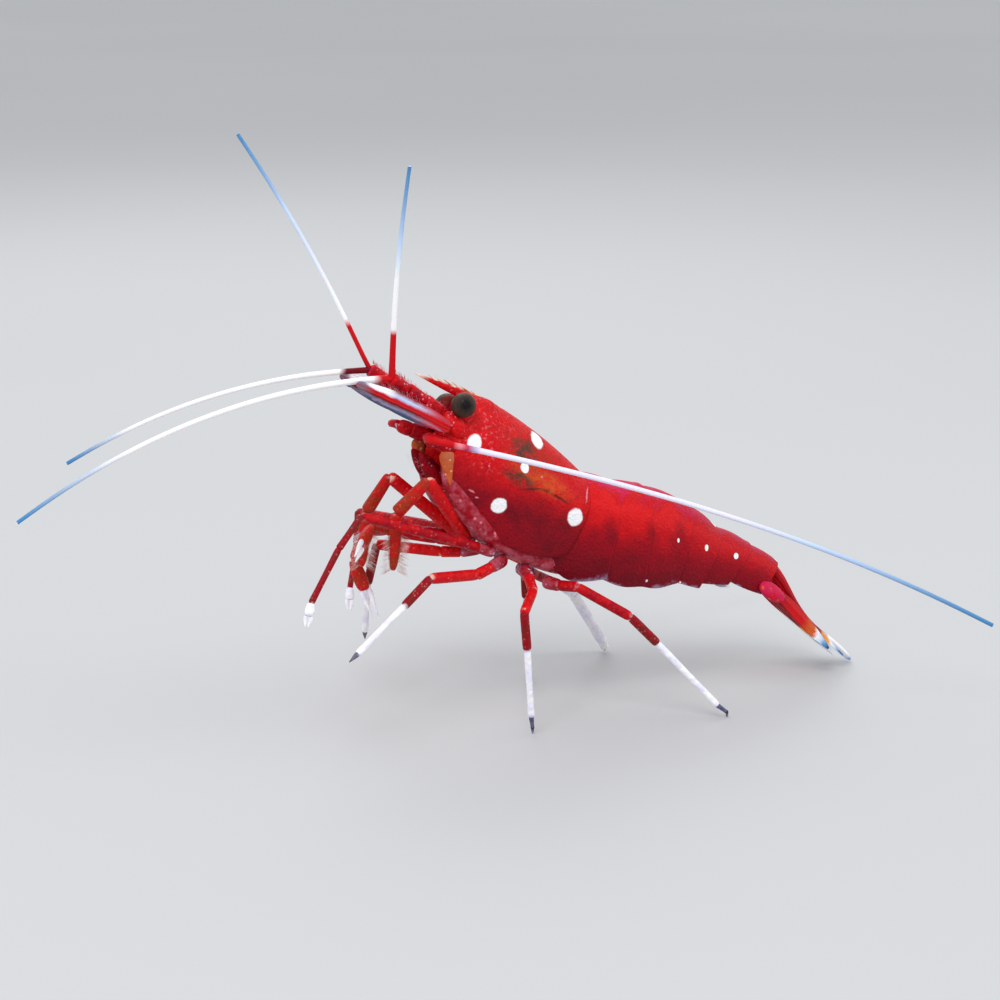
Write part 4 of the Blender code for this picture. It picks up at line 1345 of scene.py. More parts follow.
@dataclass
class Abdomen:
    """Six overlapping plates, the soft belly and the swimming blades.

    A hoop is given by the X and Z of its top and of its lowest point, and its half width.
    For each plate, the arch is how high its back swells, the lobe how far its flank hangs
    down, and the point how much of that comes at its rear corner. The shares are where its
    ribs stand, from the rear rim to the front. A plate's front is tucked in, its rear flares
    over the next plate and ends in a lip, and its flanks are trimmed. The first plate also
    runs under the carapace, with a clearance.
    """

    hoops: tuple[tuple[float, float, float, float, float], ...] = (
        (0.10, 19.75, -2.90, 11.2, 3.75), (2.50, 18.77, 0.35, 11.0, 3.95),
        (5.30, 18.13, 3.95, 10.0, 3.90), (9.55, 16.23, 7.30, 9.9, 3.50),
        (12.70, 13.80, 9.90, 9.4, 3.00), (15.80, 12.10, 12.95, 9.2, 2.50),
        (18.95, 10.05, 16.50, 7.5, 2.05))
    arches: tuple[float, ...] = (0.10, 0.12, 0.30, 0.28, 0.22, 0.15)
    lobes: tuple[float, ...] = (0.15, 0.35, 0.45, 0.45, 0.45, 0.10)
    points: tuple[float, ...] = (0.0, 0.0, 0.3, 1.0, 1.0, 0.0)
    shares: tuple[float, ...] = (1.09, 1.05, 0.92, 0.72, 0.5, 0.28, 0.10, -0.06, -0.16)
    under_shield: tuple[float, ...] = (-0.5, -0.95)
    last_rim: tuple[float, ...] = (0.98, 0.96)
    tuck: float = 0.10
    flare: float = 0.13
    lip: float = 0.05
    trim: float = 0.15
    clearance: float = 0.12
    wall: float = 0.14

    def joint(self, index: int) -> Hoop:
        """The hoop at a joint, counted from the carapace back."""
        top_x, top_z, low_x, low_z, width = self.hoops[index]
        return Hoop(Vector((top_x, 0.0, top_z)), Vector((low_x, 0.0, low_z)), width)

    def plate(self, index: int) -> Piece:
        """Model one plate: its rear rim flares over the next one's tucked-in front.

        Args:
            index: Which plate, from 0.

        Returns:
            The plate.
        """
        front, rear = self.joint(index), self.joint(index + 1)
        shares = self.shares + (self.under_shield if index == 0 else ())
        if index == 5:
            shares = self.last_rim + shares[2:]
        ribs = []
        for share in shares:
            within = min(max(share, 0.0), 1.0)
            under = max(-share, 0.0) if index == 0 else 0.0
            rise = math.sin(math.pi * within)
            top, low = front.top.lerp(rear.top, share), front.low.lerp(rear.low, share)
            down = (low - top).normalized()
            stand = self.flare * share - self.tuck + (self.lip if share > 1.0 else 0.0)
            stand -= self.clearance if under else 0.0
            lobe = self.lobes[index] * mix(rise, within, self.points[index]) - self.trim
            ribs.append(Hoop(top - down * (self.arches[index] * rise + stand),
                             low + down * lobe + Vector((0.0, 0.0, 2.75 * under)),
                             mix(front.half_width, rear.half_width, share) + 0.08 * rise + stand))
        arch = ArchShell(ribs, wall=self.wall)
        piece = arch.model(f"somite_{index + 1}_plate")
        arch.thicken(piece)
        return piece

    def belly(self) -> Piece:
        """Model the belly: one soft length that runs inside the plates.

        Returns:
            The belly.
        """
        middles = [(hoop.top.lerp(hoop.low, 0.46), hoop.half_width, hoop.depth)
                   for hoop in (self.joint(index) for index in range(7))]
        place, width, depth = middles[0]
        turn = Matrix.Translation(place) @ aim(Vector((1.0, 0.0, -0.1)), ACROSS)
        piece = start_ring("belly", width * 0.86, 20, turn, flat=depth * 0.36 / (width * 0.86))
        before = (width, depth)
        for nearest, (place, width, depth) in zip(middles, middles[1:]):
            draw_out(place - nearest[0], place, (1.0, width / before[0], depth / before[1]))
            before = (width, depth)
        settle(piece)
        outward(piece)
        return piece

    def blades(self) -> Piece:
        """Model the swimming blades, two on each of ten stalks, and their fringes.

        Returns:
            All the blades as one piece.
        """
        stalk = turned("stalk", ((0.0, 0.30), (0.3, 0.42), (0.9, 0.36), (1.1, 0.22)), 10)
        leaf = turned("leaf", ((0.0, 0.10), (0.2, 0.30), (0.7, 0.50), (1.3, 0.42), (1.8, 0.20),
                               (2.0, 0.05)), 10, 0.22)
        hair = turned("hair", ((0.0, 0.022), (0.35, 0.016), (0.7, 0.004)), 4)
        pieces = []
        for index in range(5):
            front, rear = self.joint(index), self.joint(index + 1)
            root = front.top.lerp(front.low, 0.78).lerp(rear.top.lerp(rear.low, 0.78), 0.30)
            back = (rear.low - front.low).normalized()
            for side in Side:
                place = root + Vector((0.0, side.value * front.half_width * 0.46, 0.0))
                down = (back * 0.55 + Vector((0.0, side.value * 0.10, -1.0))).normalized()
                pieces.append(copied(stalk, place, aim(down)))
                for lean, size in ((0.55, 0.85), (0.95, 0.72)):
                    along = (down + back * lean * 2.0).normalized()
                    foot = place + down * 0.75
                    pieces.append(copied(leaf, foot, aim(along, back), size))
                    for count in range(7):
                        turn = mix(-0.5, 0.5, count / 6.0)
                        tip = foot + along * size * (1.9 - abs(turn)) + back * turn * 0.8 * size
                        pieces.append(copied(hair, tip, aim(along + back * turn), 0.8))
        discard((stalk, leaf, hair))
        return join("swimmerets", pieces)

    def build(self) -> None:
        """Model and dress the plates, the belly and the swimming blades."""
        shell = PlateFinish().make()
        for index in range(6):
            plate = self.plate(index)
            coat(plate, shell)
            finish(plate, (f"somite_{index + 1}",), 70.0, 2)
        belly = self.belly()
        coat(belly, FleshFinish(
            "belly_skin", Ink.WINE, Ink.CRIMSON, Ink.LAVENDER, 0.5, 2.4).make())
        finish(belly, (), 80.0, 2)
        blades = self.blades()
        coat(blades, GlassFinish("swimmeret_skin", Ink.LAVENDER, 0.25).make())
        finish(blades, (), 60.0, 1)


@dataclass
class TailFan:
    """The telson and, on each side, the two blades of the tail."""

    start: Place = (17.2, 0.0, 9.92)
    steps: tuple[Station, ...] = ((1.5, -27.0), (2.3, -61.0), (2.1, -55.0), (2.6, -47.0),
                                  (2.3, -35.0), (2.4, -41.0), (0.8, -52.0))
    half_widths: tuple[float, ...] = (0.85, 1.25, 1.45, 1.25, 1.05, 0.90, 0.75, 0.30)
    half_depths: tuple[float, ...] = (0.55, 0.92, 0.68, 0.46, 0.34, 0.32, 0.30, 0.14)
    endopod: tuple[Place, ...] = ((17.40, 1.35, 8.62), (25.25, 1.45, 1.02))
    exopod: tuple[Place, ...] = ((17.85, 2.30, 7.85), (22.80, 2.95, 2.35))
    tucked: tuple[Place, ...] = ((18.30, 2.05, 7.95), (24.20, 2.25, 2.35))
    droops: tuple[float, float] = (34.0, 62.0)
    blade_half_widths: tuple[float, float] = (0.85, 0.78)
    leaf: Place = (0.10, 0.86, 0.62)
    stalk: tuple[Place, ...] = ((16.2, 2.15, 8.72), (18.5, 2.40, 7.10))
    telson_stops: tuple[Stop, ...] = (
        (0.0, Ink.SCARLET), (0.30, Ink.SCARLET), (0.60, Ink.CRIMSON), (0.68, Ink.WHITE),
        (0.85, Ink.WHITE), (0.93, Ink.ICE), (1.0, Ink.BLUE))
    inner_stops: tuple[Stop, ...] = (
        (0.0, Ink.CRIMSON), (0.66, Ink.CRIMSON), (0.72, Ink.AMBER), (0.78, Ink.AMBER),
        (0.82, Ink.WHITE), (0.92, Ink.BLUE), (1.0, Ink.NAVY))
    outer_stops: tuple[Stop, ...] = (
        (0.0, Ink.CRIMSON), (0.30, Ink.SCARLET), (0.48, Ink.SCARLET), (0.62, Ink.ORANGE),
        (0.70, Ink.ORANGE), (0.75, Ink.WHITE), (0.84, Ink.ICE), (0.92, Ink.BLUE),
        (1.0, Ink.NAVY))

    def telson(self) -> Piece:
        """Model the tapering tail plate, bent down and then out.

        Returns:
            The tail plate.
        """
        centre = Vector(self.start)
        pitch = self.steps[0][1]
        along = Vector((math.cos(math.radians(pitch)), 0.0, math.sin(math.radians(pitch))))
        turn = Matrix.Translation(centre) @ aim(along, ACROSS)
        piece = start_ring("telson_plate", self.half_widths[0], 14, turn,
                           flat=self.half_depths[0] / self.half_widths[0])
        places = [centre.copy()]
        for index, (length, rise) in enumerate(self.steps):
            along = Vector((math.cos(math.radians(rise)), 0.0, math.sin(math.radians(rise))))
            axes = aim(along, ACROSS)
            centre = centre + along * length
            widen = (self.half_widths[index + 1] / self.half_widths[index],
                     self.half_depths[index + 1] / self.half_depths[index], 1.0)
            draw_out(along * length, centre, widen, math.radians(pitch - rise), axes)
            places.append(centre.copy())
            pitch = rise
        settle(piece)
        outward(piece)
        self.mark_along(piece, places, self.half_widths)
        return piece

    @staticmethod
    def mark_along(piece: Piece, places: Sequence[Vector], half_widths: Sequence[float]) -> None:
        """Mark how far along and across a blade each of its points lies.

        Args:
            piece: The blade.
            places: Its middle line.
            half_widths: Its half width at each place.
        """
        def nearest(point: Vector) -> int:
            """The nearest place on the middle line."""
            return min(range(len(places)), key=lambda index: (places[index] - point).length)

        middle = sum(place.y for place in places) / len(places)
        mark(piece, "along", lambda point: nearest(point) / (len(places) - 1))
        mark(piece, "across", lambda point: abs(point.y - middle)
             / max(half_widths[nearest(point)], 0.2))

    def blade(self, name: str, half_width: float, length: float) -> Piece:
        """Model a tail blade that stands on the origin: a broad leaf with a raised midrib.

        Args:
            name: The blade's name.
            half_width: Its half width.
            length: Its length.

        Returns:
            The blade, marked "along" and "across".
        """
        stations = []
        for step in range(13):
            share = step / 12.0
            spread = leaf_spread(share, *self.leaf)
            stations.append((length * share, half_width * max(spread, 0.05)))
        piece = turned(name, stations, 16, 0.16)
        swell(piece, lambda place: abs(place.x) < half_width * 0.12, 1.9)
        mark(piece, "across", lambda place: abs(place.x) / half_width)
        return piece

    def fringe(self, hair: Piece, base: Vector, tip: Vector, across: Vector,
               half_width: float) -> list[Piece]:
        """Set a fringe of hairs round the outer half of a blade.

        Args:
            hair: The hair to copy.
            base: The blade's root.
            tip: The blade's tip.
            across: The direction across it.
            half_width: The blade's half width.

        Returns:
            The hairs.
        """
        along = (tip - base).normalized()
        hairs = []
        for step in range(22):
            share = mix(0.38, 0.985, step / 21.0)
            spread = leaf_spread(share, *self.leaf)
            for edge in (-1.0, 1.0):
                place = base.lerp(tip, share) + across * edge * spread * half_width * 0.93
                lean = along + across * edge * 0.55 * (1.0 - share)
                hairs.append(copied(hair, place, aim(lean), mix(0.8, 1.15, share)))
        return hairs

    def build(self) -> None:
        """Model and dress the tail."""
        plate = self.telson()
        coat(plate, BandFinish("telson_bands", self.telson_stops, Ink.CRIMSON, Ink.PINK).make())
        finish(plate, ("telson",), 70.0, 2)
        knuckle = turned("knuckle", ((0.0, 0.35), (0.3, 0.64), (1.0, 0.82), (1.8, 0.80),
                                     (2.5, 0.56), (2.9, 0.15)), 16, 0.55)
        coat(knuckle, FleshFinish(
            "tail_stalk_skin", Ink.MAGENTA, Ink.SCARLET, Ink.ORANGE, 0.9, 1.4).make())
        hair_glass = GlassFinish("fringe_glass", Ink.ICE, 0.35).make()
        hair = turned("hair", ((0.0, 0.020), (0.35, 0.014), (0.75, 0.004)), 4)
        inner = BandFinish("inner_blade", self.inner_stops, Ink.CRIMSON, Ink.SCARLET)
        outer = BandFinish("outer_blade", self.outer_stops, Ink.CRIMSON, Ink.BRIGHT)
        kinds = zip(("endopod", "exopod"), (self.endopod, self.exopod),
                    self.blade_half_widths, self.droops, (inner, outer))
        for kind, ends, half_width, droop, look in kinds:
            pattern = self.blade(kind, half_width, (Vector(ends[1]) - Vector(ends[0])).length)
            coat(pattern, look.make())
            lean = math.radians(droop)
            for side in Side:
                base, tip = side.mirror(ends[0]), side.mirror(ends[1])
                if kind == "exopod" and side is Side.RIGHT:
                    base, tip = Vector(self.tucked[0]), Vector(self.tucked[1])
                across = side.mirror((0.0, math.cos(lean), -math.sin(lean)))
                pieces = [copied(pattern, base, aim(tip - base, across))]
                if kind == "exopod":
                    root, end = side.mirror(self.stalk[0]), side.mirror(self.stalk[1])
                    pieces.append(copied(knuckle, root, aim(end - root, across)))
                piece = join("blade", pieces)
                fringe = join("fringe", self.fringe(hair, base, tip, across, half_width))
                coat(fringe, hair_glass)
                modify(piece, "SUBSURF", levels=1, render_levels=1)
                name = f"uropod_{kind}_{side.letter}"
                joined = join(name + "_blade", [piece, fringe])
                finish(joined, (name,), 60.0)
            discard((pattern,))
        discard((hair, knuckle))


@dataclass
class Eyes:
    """The stalked eyes."""

    centres: dict[Side, Place] = field(default_factory=lambda: {
        Side.LEFT: (-11.72, 2.5, 26.66), Side.RIGHT: (-11.35, 1.65, 25.85)})
    radius: float = 1.03
    arc: tuple[float, float] = (38.0, 176.0)
    turn: float = 12.0
    stalk: tuple[Station, ...] = ((-1.5, 0.30), (-1.35, 0.42), (-1.1, 0.46), (-0.85, 0.44),
                                  (-0.62, 0.56), (-0.45, 0.80), (-0.30, 0.88), (-0.24, 0.80))

    def build(self) -> None:
        """Model one eye and its stalk, copy them to each side and dress them."""
        ball = []
        for step in range(15):
            angle = math.radians(mix(*self.arc, step / 14.0))
            ball.append((-self.radius * 0.98 * math.cos(angle), self.radius * math.sin(angle)))
        cornea, stalk = turned("cornea", ball, 24), turned("stalk", self.stalk, 20)
        turn = math.radians(self.turn)
        look = (-math.sin(turn), math.cos(turn), math.sin(turn))
        coat(stalk, FleshFinish(
            "eyestalk_skin", Ink.CRIMSON, Ink.WINE, Ink.LAVENDER, 0.9, 3.4).make())
        for side in Side:
            place, facing = side.mirror(self.centres[side]), aim(side.mirror(look))
            ball_piece = copied(cornea, place, facing)
            coat(ball_piece, EyeFinish(self.centres[side], look).make())
            piece = join(f"eye_{side.letter}_ball", [ball_piece, copied(stalk, place, facing)])
            finish(piece, ("eye_" + side.letter,), 80.0, 1)
        discard((cornea, stalk))


@dataclass(frozen=True)
class Feeler:
    """A whip's run: where it starts, its length, and its first and last directions."""

    start: Vector
    length: float
    headings: Angles
    pitches: Angles
    bend: float = 1.0

    def points(self, side: Side, spacing: float) -> list[Vector]:
        """Give points along the whip, turning evenly.

        Args:
            side: The side that its headings open towards.
            spacing: The distance between the points, about.

        Returns:
            The points from its root.
        """
        steps = max(3, round(self.length / spacing))
        points = [self.start.copy()]
        for step in range(steps):
            share = (step + 0.5) / steps
            angles = (mix(*self.headings, share), mix(*self.pitches, share ** self.bend))
            points.append(points[-1] + heading(angles, side) * self.length / steps)
        return points


class Bristles:
    """Bristles set in tufts, all copied from one."""

    def __init__(self, radius: float = 0.022) -> None:
        """Model the bristle that the others are copied from.

        Args:
            radius: Its radius at the root.
        """
        self.pattern = turned("bristle", ((0.0, radius), (0.5, radius * 0.7), (0.85, radius * 0.4),
                                          (1.0, radius * 0.12)), 4)
        self.draw = random.Random(7)

    def along(self, start: Vector, end: Vector, away: Vector, count: int, length: float,
              depth: float, spread: float = 0.5) -> list[Piece]:
        """Set bristles along a line.

        Args:
            start: The line's start.
            end: The line's end.
            away: The direction that they stand in.
            count: How many there are.
            length: Their length.
            depth: How far off the line they are rooted.
            spread: How unevenly they stand.

        Returns:
            The bristles.
        """
        hairs = []
        run = (end - start).normalized()
        side = run.cross(away).normalized()
        for step in range(count):
            share = (step + self.draw.random()) / count
            lean = (away + run * (0.55 + self.draw.uniform(-0.2, 0.2))
                    + side * self.draw.uniform(-spread, spread)).normalized()
            place = start.lerp(end, share) + away.normalized() * depth
            hairs.append(
                copied(self.pattern, place, aim(lean), length * self.draw.uniform(0.7, 1.15)))
        return hairs

    def dye(self, skin: Skin) -> None:
        """Give the bristles that are set from now on their material."""
        self.pattern.data.materials.clear()
        coat(self.pattern, skin)

    def put_away(self) -> None:
        """Take the pattern off the bench."""
        discard((self.pattern,))


@dataclass
class Antennules:
    """The upper feelers: a jointed stem on each side and four whips."""

    base: Place = (-12.75, 1.30, 25.45)
    end: Place = (-17.8, 2.20, 29.2)
    stem_parts: tuple[Place, ...] = (
        (-0.03, 0.44, 0.86), (0.42, 0.73, 0.76), (0.71, 1.02, 0.62))
    joint: tuple[Station, ...] = ((0.0, 0.55), (0.05, 0.88), (0.25, 1.0), (0.7, 0.96),
                                  (0.9, 1.02), (0.97, 0.92), (1.0, 0.5))
    thickness: dict[str, float] = field(default_factory=lambda: {
        "inner_L": 0.32, "inner_R": 0.21, "outer_L": 0.30, "outer_R": 0.27})
    whips: dict[str, tuple[Feeler, Side]] = field(default_factory=lambda: {
        "inner_L": (Feeler(Vector((-17.8, -2.28, 29.85)), 16.6, (80, 120), (82, 79)), Side.LEFT),
        "inner_R": (Feeler(Vector((-18.1, 2.4, 29.8)), 20.8, (35, 35), (66, 55)), Side.RIGHT),
        "outer_L": (Feeler(Vector((-18.4, -2.4, 29.35)), 34.2, (10, 18), (3, -26)), Side.LEFT),
        "outer_R": (Feeler(Vector((-18.4, 2.4, 29.2)), 25.0, (8, 18), (1, -32)), Side.RIGHT)})
    # The right whips' roots are painted crimson and wine, darker than the left ones' scarlet:
    # painted shade on the far side.
    stops: dict[str, tuple[Stop, ...]] = field(default_factory=lambda: {
        "inner_L": ((0.0, Ink.SCARLET), (0.23, Ink.SCARLET), (0.26, Ink.WHITE),
                    (0.55, Ink.WHITE), (0.75, Ink.ICE), (1.0, Ink.BLUE)),
        "inner_R": ((0.0, Ink.CRIMSON), (0.08, Ink.SCARLET), (0.20, Ink.SCARLET),
                    (0.23, Ink.WHITE), (0.75, Ink.ICE), (1.0, Ink.BLUE)),
        "outer_L": ((0.0, Ink.SCARLET), (0.045, Ink.SCARLET), (0.06, Ink.WHITE),
                    (0.75, Ink.WHITE), (1.0, Ink.BLUE)),
        "outer_R": ((0.0, Ink.WINE), (0.085, Ink.WINE), (0.11, Ink.WHITE),
                    (0.85, Ink.WHITE), (1.0, Ink.BLUE))})

    def stem(self, name: str) -> Piece:
        """Model a stem of three joints that stands on the origin.

        Args:
            name: The piece's name.

        Returns:
            The stem.
        """
        length = (Vector(self.end) - Vector(self.base)).length
        parts = []
        for low, high, radius in self.stem_parts:
            stations = [(mix(low, high, share) * length, radius * factor)
                        for share, factor in self.joint]
            parts.append(turned("joint", stations, 16, 0.9))
        return join(name, parts)

    def build(self) -> None:
        """Model and dress the stems and the whips."""
        pattern = self.stem("stem")
        coat(pattern, FleshFinish("stem_skin", Ink.SCARLET, Ink.CRIMSON, Ink.PINK, 0.5, 3.2,
                                  joint=Ink.MAGENTA).make())
        tufts = Bristles(0.09)
        tufts.dye(GlassFinish("tuft_glass", Ink.MAGENTA, 0.0).make())
        for side in Side:
            base, end = side.mirror(self.base), side.mirror(self.end)
            pieces = [copied(pattern, base, aim(end - base, ACROSS))]
            pieces += tufts.along(
                base.lerp(end, 0.10), end, Vector((0.35, 0.0, 0.9)), 90, 0.50, 0.52, 0.9)
            piece = join(f"antennule_{side.letter}_stem", pieces)
            finish(piece, ("antennule_" + side.letter,), 80.0, 1)
        discard((pattern,))
        tufts.put_away()
        for name, (run, side) in self.whips.items():
            points = [side.mirror(self.end), *run.points(side, WHIP_STEP)]
            last = len(points) - 1
            radii = [mix(self.thickness[name], WHIP_TIP, (step / last) ** 0.7)
                     for step in range(len(points))]
            piece = whip(f"antennule_{name}_whip", points, radii)
            coat(piece, WhipFinish("whip_" + name, self.stops[name], 140.0).make())
            finish(piece, ("antennule_" + name,), 80.0)


@dataclass
class Antennae:
    """The lower feelers: a stem, a scale and a long whip that sweeps back on each side."""

    stem_base: Place = (-13.6, 2.6, 23.7)
    stem_end: Place = (-14.9, 2.9, 24.25)
    stem_parts: tuple[tuple[Station, ...], ...] = (
        ((-1.4, 0.45), (-1.1, 0.62), (-0.4, 0.70), (0.40, 0.68), (0.56, 0.64), (0.60, 0.45)),
        ((0.50, 0.48), (0.56, 0.62), (0.80, 0.66), (1.30, 0.64), (1.55, 0.56), (1.72, 0.40),
         (1.80, 0.20)))
    hook_start: Place = (-15.1, 2.93, 24.40)
    hook_length: float = 2.9
    hooks: dict[Side, tuple[Angles, Angles]] = field(default_factory=lambda: {
        Side.LEFT: ((60, 172), (4, -14)), Side.RIGHT: ((60, 172), (0, -28))})
    sweeps: dict[Side, tuple[float, Angles, Angles, float]] = field(default_factory=lambda: {
        Side.LEFT: (48.0, (170, 155), (-14.9, -27.9), 1.5),
        Side.RIGHT: (47.5, (168, 155), (-28.0, -19.5), 1.0)})
    scale_base: Place = (-13.1, 3.2, 25.0)
    scale_tips: dict[Side, Place] = field(default_factory=lambda: {
        Side.LEFT: (-21.55, -3.65, 29.45), Side.RIGHT: (-19.5, 4.9, 28.6)})
    scale_half_width: float = 0.92
    scale_lean: float = 0.28
    scale_leaf: Place = (0.06, 0.88, 0.65)
    root_radii: tuple[float, float] = (0.38, 0.26)
    sweep_radii: tuple[float, float] = (0.25, 0.17)
    split: float = 0.4
    root_stops: tuple[Stop, ...] = (
        (0.0, Ink.CRIMSON), (0.10, Ink.SCARLET), (0.44, Ink.SCARLET), (0.47, Ink.PINK),
        (0.49, Ink.MAGENTA), (0.51, Ink.LAVENDER), (0.535, Ink.PEARL))
    end_stops: tuple[Stop, ...] = (
        (0.0, Ink.PEARL), (0.08, Ink.PEARL), (0.38, Ink.ICE), (1.0, Ink.BLUE))

    def stem(self) -> Piece:
        """Model the stout stem of two joints, standing on the origin.

        Returns:
            The stem.
        """
        return join("antenna_pattern", [turned("joint", part, 16, 0.95)
                                        for part in self.stem_parts])

    def scale(self, length: float) -> Piece:
        """Model a scale: a thin leaf, stiff along its outer edge, with a spine at its end.

        Args:
            length: The scale's length.

        Returns:
            The scale, standing on the origin with its outer edge towards -X.
        """
        stations = []
        for step in range(13):
            share = step / 12.0
            spread = leaf_spread(share, *self.scale_leaf)
            stations.append((length * share * 0.985, self.scale_half_width * max(spread, 0.06)))
        piece = turned("scale", stations, 18, 0.17)
        swell(piece, lambda place: place.x < -0.45 * self.scale_half_width, 1.7)
        swell(piece, lambda place: abs(place.x - 0.1) < 0.12, 1.6)
        mark(piece, "across", lambda place: place.x / self.scale_half_width)
        spine = turned("spine", ((0.0, 0.13), (0.5, 0.11), (1.0, 0.06), (1.35, 0.012)), 8)
        spine.data.transform(Matrix.Translation((-0.55, 0.0, length * 0.80)))
        mark(spine, "along", lambda place: place.z / length)
        mark(spine, "across", lambda place: -1.0)
        return join("scale", [piece, spine])

    def dress_scale(self, side: Side, skin: Skin, bristles: Bristles) -> None:
        """Model and dress one side's scale.

        Args:
            side: The side.
            skin: The scale's material.
            bristles: The bristles for its inner edge.
        """
        foot, tip = side.mirror(self.scale_base), Vector(self.scale_tips[side])
        leaf = self.scale((tip - foot).length)
        coat(leaf, skin)
        turn = aim(tip - foot, Vector((0.0, -side.value * self.scale_lean, 1.0)))
        blade = copied(leaf, foot, turn)
        discard((leaf,))
        inner = (turn.to_3x3() @ REARWARD) * self.scale_half_width * 0.9
        hairs = bristles.along(
            foot.lerp(tip, 0.35) + inner, tip + inner * 0.35, inner, 30, 0.6, 0.0, 0.1)
        joined = join(f"antennal_scale_{side.letter}_leaf", [blade, *hairs])
        finish(joined, ("antennal_scale_" + side.letter,), 60.0, 1)

    def lay_whip(self, side: Side) -> None:
        """Lay one side's whip in two lengths: the hooked root, and the end of the sweep.

        Args:
            side: The side.
        """
        letter = side.letter
        near = Feeler(
            side.mirror(self.hook_start), self.hook_length, *self.hooks[side]).points(side, 0.5)
        length, headings, pitches, bend = self.sweeps[side]
        far = Feeler(near[-1], length, headings, pitches, bend).points(side, WHIP_STEP)
        cut, total = round(self.split * len(far)), len(far) - 1
        rear = [mix(*self.sweep_radii, (step / total) ** 0.8) for step in range(len(far))]
        front = [mix(*self.root_radii, step / (len(near) - 1)) for step in range(len(near))]
        root = whip(f"antenna_{letter}_root", near + far[1:cut + 1], front + rear[1:cut + 1])
        coat(root, WhipFinish("antenna_root_" + letter, self.root_stops, 120.0).make())
        finish(root, ("antenna_" + letter,), 80.0)
        end = whip(f"antenna_{letter}_end", far[cut:], rear[cut:])
        coat(end, WhipFinish("antenna_end_" + letter, self.end_stops, 170.0).make())
        finish(end, ("antenna_tip_" + letter,), 80.0)

    def build(self, bristles: Bristles) -> None:
        """Model and dress the stems, the scales and the whips.

        Args:
            bristles: The bristles to copy.
        """
        scale_skin = ScaleFinish().make()
        bristles.dye(GlassFinish("scale_fringe_glass", Ink.LAVENDER, 0.35).make())
        pattern = self.stem()
        coat(pattern, FleshFinish(
            "antenna_stem_skin", Ink.CRIMSON, Ink.SCARLET, Ink.PINK, 0.4, 2.6).make())
        for side in Side:
            base, end = side.mirror(self.stem_base), side.mirror(self.stem_end)
            piece = copied(pattern, base, aim(end - base))
            piece.name = f"antenna_{side.letter}_stem"
            finish(piece, ("antenna_stem_" + side.letter,), 80.0, 1)
            self.dress_scale(side, scale_skin, bristles)
            self.lay_whip(side)
        discard((pattern,))


@dataclass
class Mouthparts:
    """The lobed plates that stand before the mouth."""

    base: Place = (-13.2, 0.75, 20.4)
    tip: Place = (-14.85, 0.80, 22.75)
    lobe: tuple[Station, ...] = ((-0.2, 0.50), (0.15, 0.78), (0.45, 0.74), (0.75, 0.50),
                                 (0.93, 0.24), (1.0, 0.08))
    small: tuple[Station, ...] = ((0.1, 0.22), (0.3, 0.36), (0.6, 0.34), (0.8, 0.12))
    palp: tuple[Place, ...] = ((-13.15, 3.0, 20.45), (-13.40, 2.8, 23.1))
    palp_profile: tuple[Station, ...] = ((-0.2, 0.06), (0.4, 0.24), (1.1, 0.44), (1.8, 0.64),
                                         (2.3, 0.70), (2.6, 0.56), (2.8, 0.18))

    def build(self, bristles: Bristles) -> None:
        """Model one plate with its two lobes, copy it to each side and dress both.

        Args:
            bristles: The bristles to copy.
        """
        length = (Vector(self.tip) - Vector(self.base)).length
        lobe, small = (
            turned(name, [(share * length, radius) for share, radius in profile], sides, 0.6)
            for name, profile, sides in (("lobe", self.lobe, 16), ("small", self.small, 14)))
        small.data.transform(Matrix.Translation((0.30, -0.18, -0.25)))
        pattern = join("mouth_pattern", [lobe, small])
        coat(pattern, FleshFinish("mouth_skin", Ink.CRIMSON, Ink.WINE, Ink.PINK, 0.4).make())
        palp = turned("palp", self.palp_profile, 16, 0.4)
        coat(palp, FleshFinish("palp_skin", Ink.PEACH, Ink.ORANGE, Ink.CREAM, 0.4, 2.2).make())
        for side in Side:
            base, tip = side.mirror(self.base), side.mirror(self.tip)
            plate = copied(pattern, base, aim(tip - base, Vector((-0.6, 0.0, -0.8))))
            hairs = bristles.along(
                base.lerp(tip, 0.35), tip, Vector((-0.7, 0.0, -0.6)), 14, 0.5, 0.45)
            piece = join(f"mouthpart_{side.letter}_plate", [plate, *hairs])
            finish(piece, ("mouthpart_" + side.letter,), 80.0, 1)
            root, end = side.mirror(self.palp[0]), side.mirror(self.palp[1])
            leaf = copied(palp, root, aim(end - root, REARWARD))
            leaf.name = "palp_" + side.letter
            finish(leaf, (), 80.0, 1)
        discard((pattern, palp))


class Form(Enum):
    """How an article of a limb runs from its root to its end."""

    ROD = ((0.0, 0.55), (0.02, 0.85), (0.06, 0.98), (0.20, 0.94), (0.50, 0.90), (0.80, 0.94),
           (0.94, 1.06), (0.98, 0.96), (1.0, 0.55))
    CLUB = ((0.0, 0.45), (0.03, 0.70), (0.12, 0.88), (0.32, 1.05), (0.58, 1.16), (0.80, 1.10),
            (0.93, 0.90), (1.0, 0.50))
    CLAW = ((0.0, 0.60), (0.05, 1.0), (0.22, 0.98), (0.45, 0.82), (0.68, 0.60), (0.86, 0.36),
            (0.96, 0.18), (1.0, 0.05))
    SHAFT = ((0.0, 0.62), (0.02, 0.88), (0.08, 1.0), (0.50, 0.98), (0.90, 1.03), (0.97, 0.97),
             (1.0, 0.60))
    HIP = ((-0.04, 0.60), (0.06, 1.0), (0.30, 1.10), (0.70, 1.02), (0.92, 1.06), (1.02, 0.70))


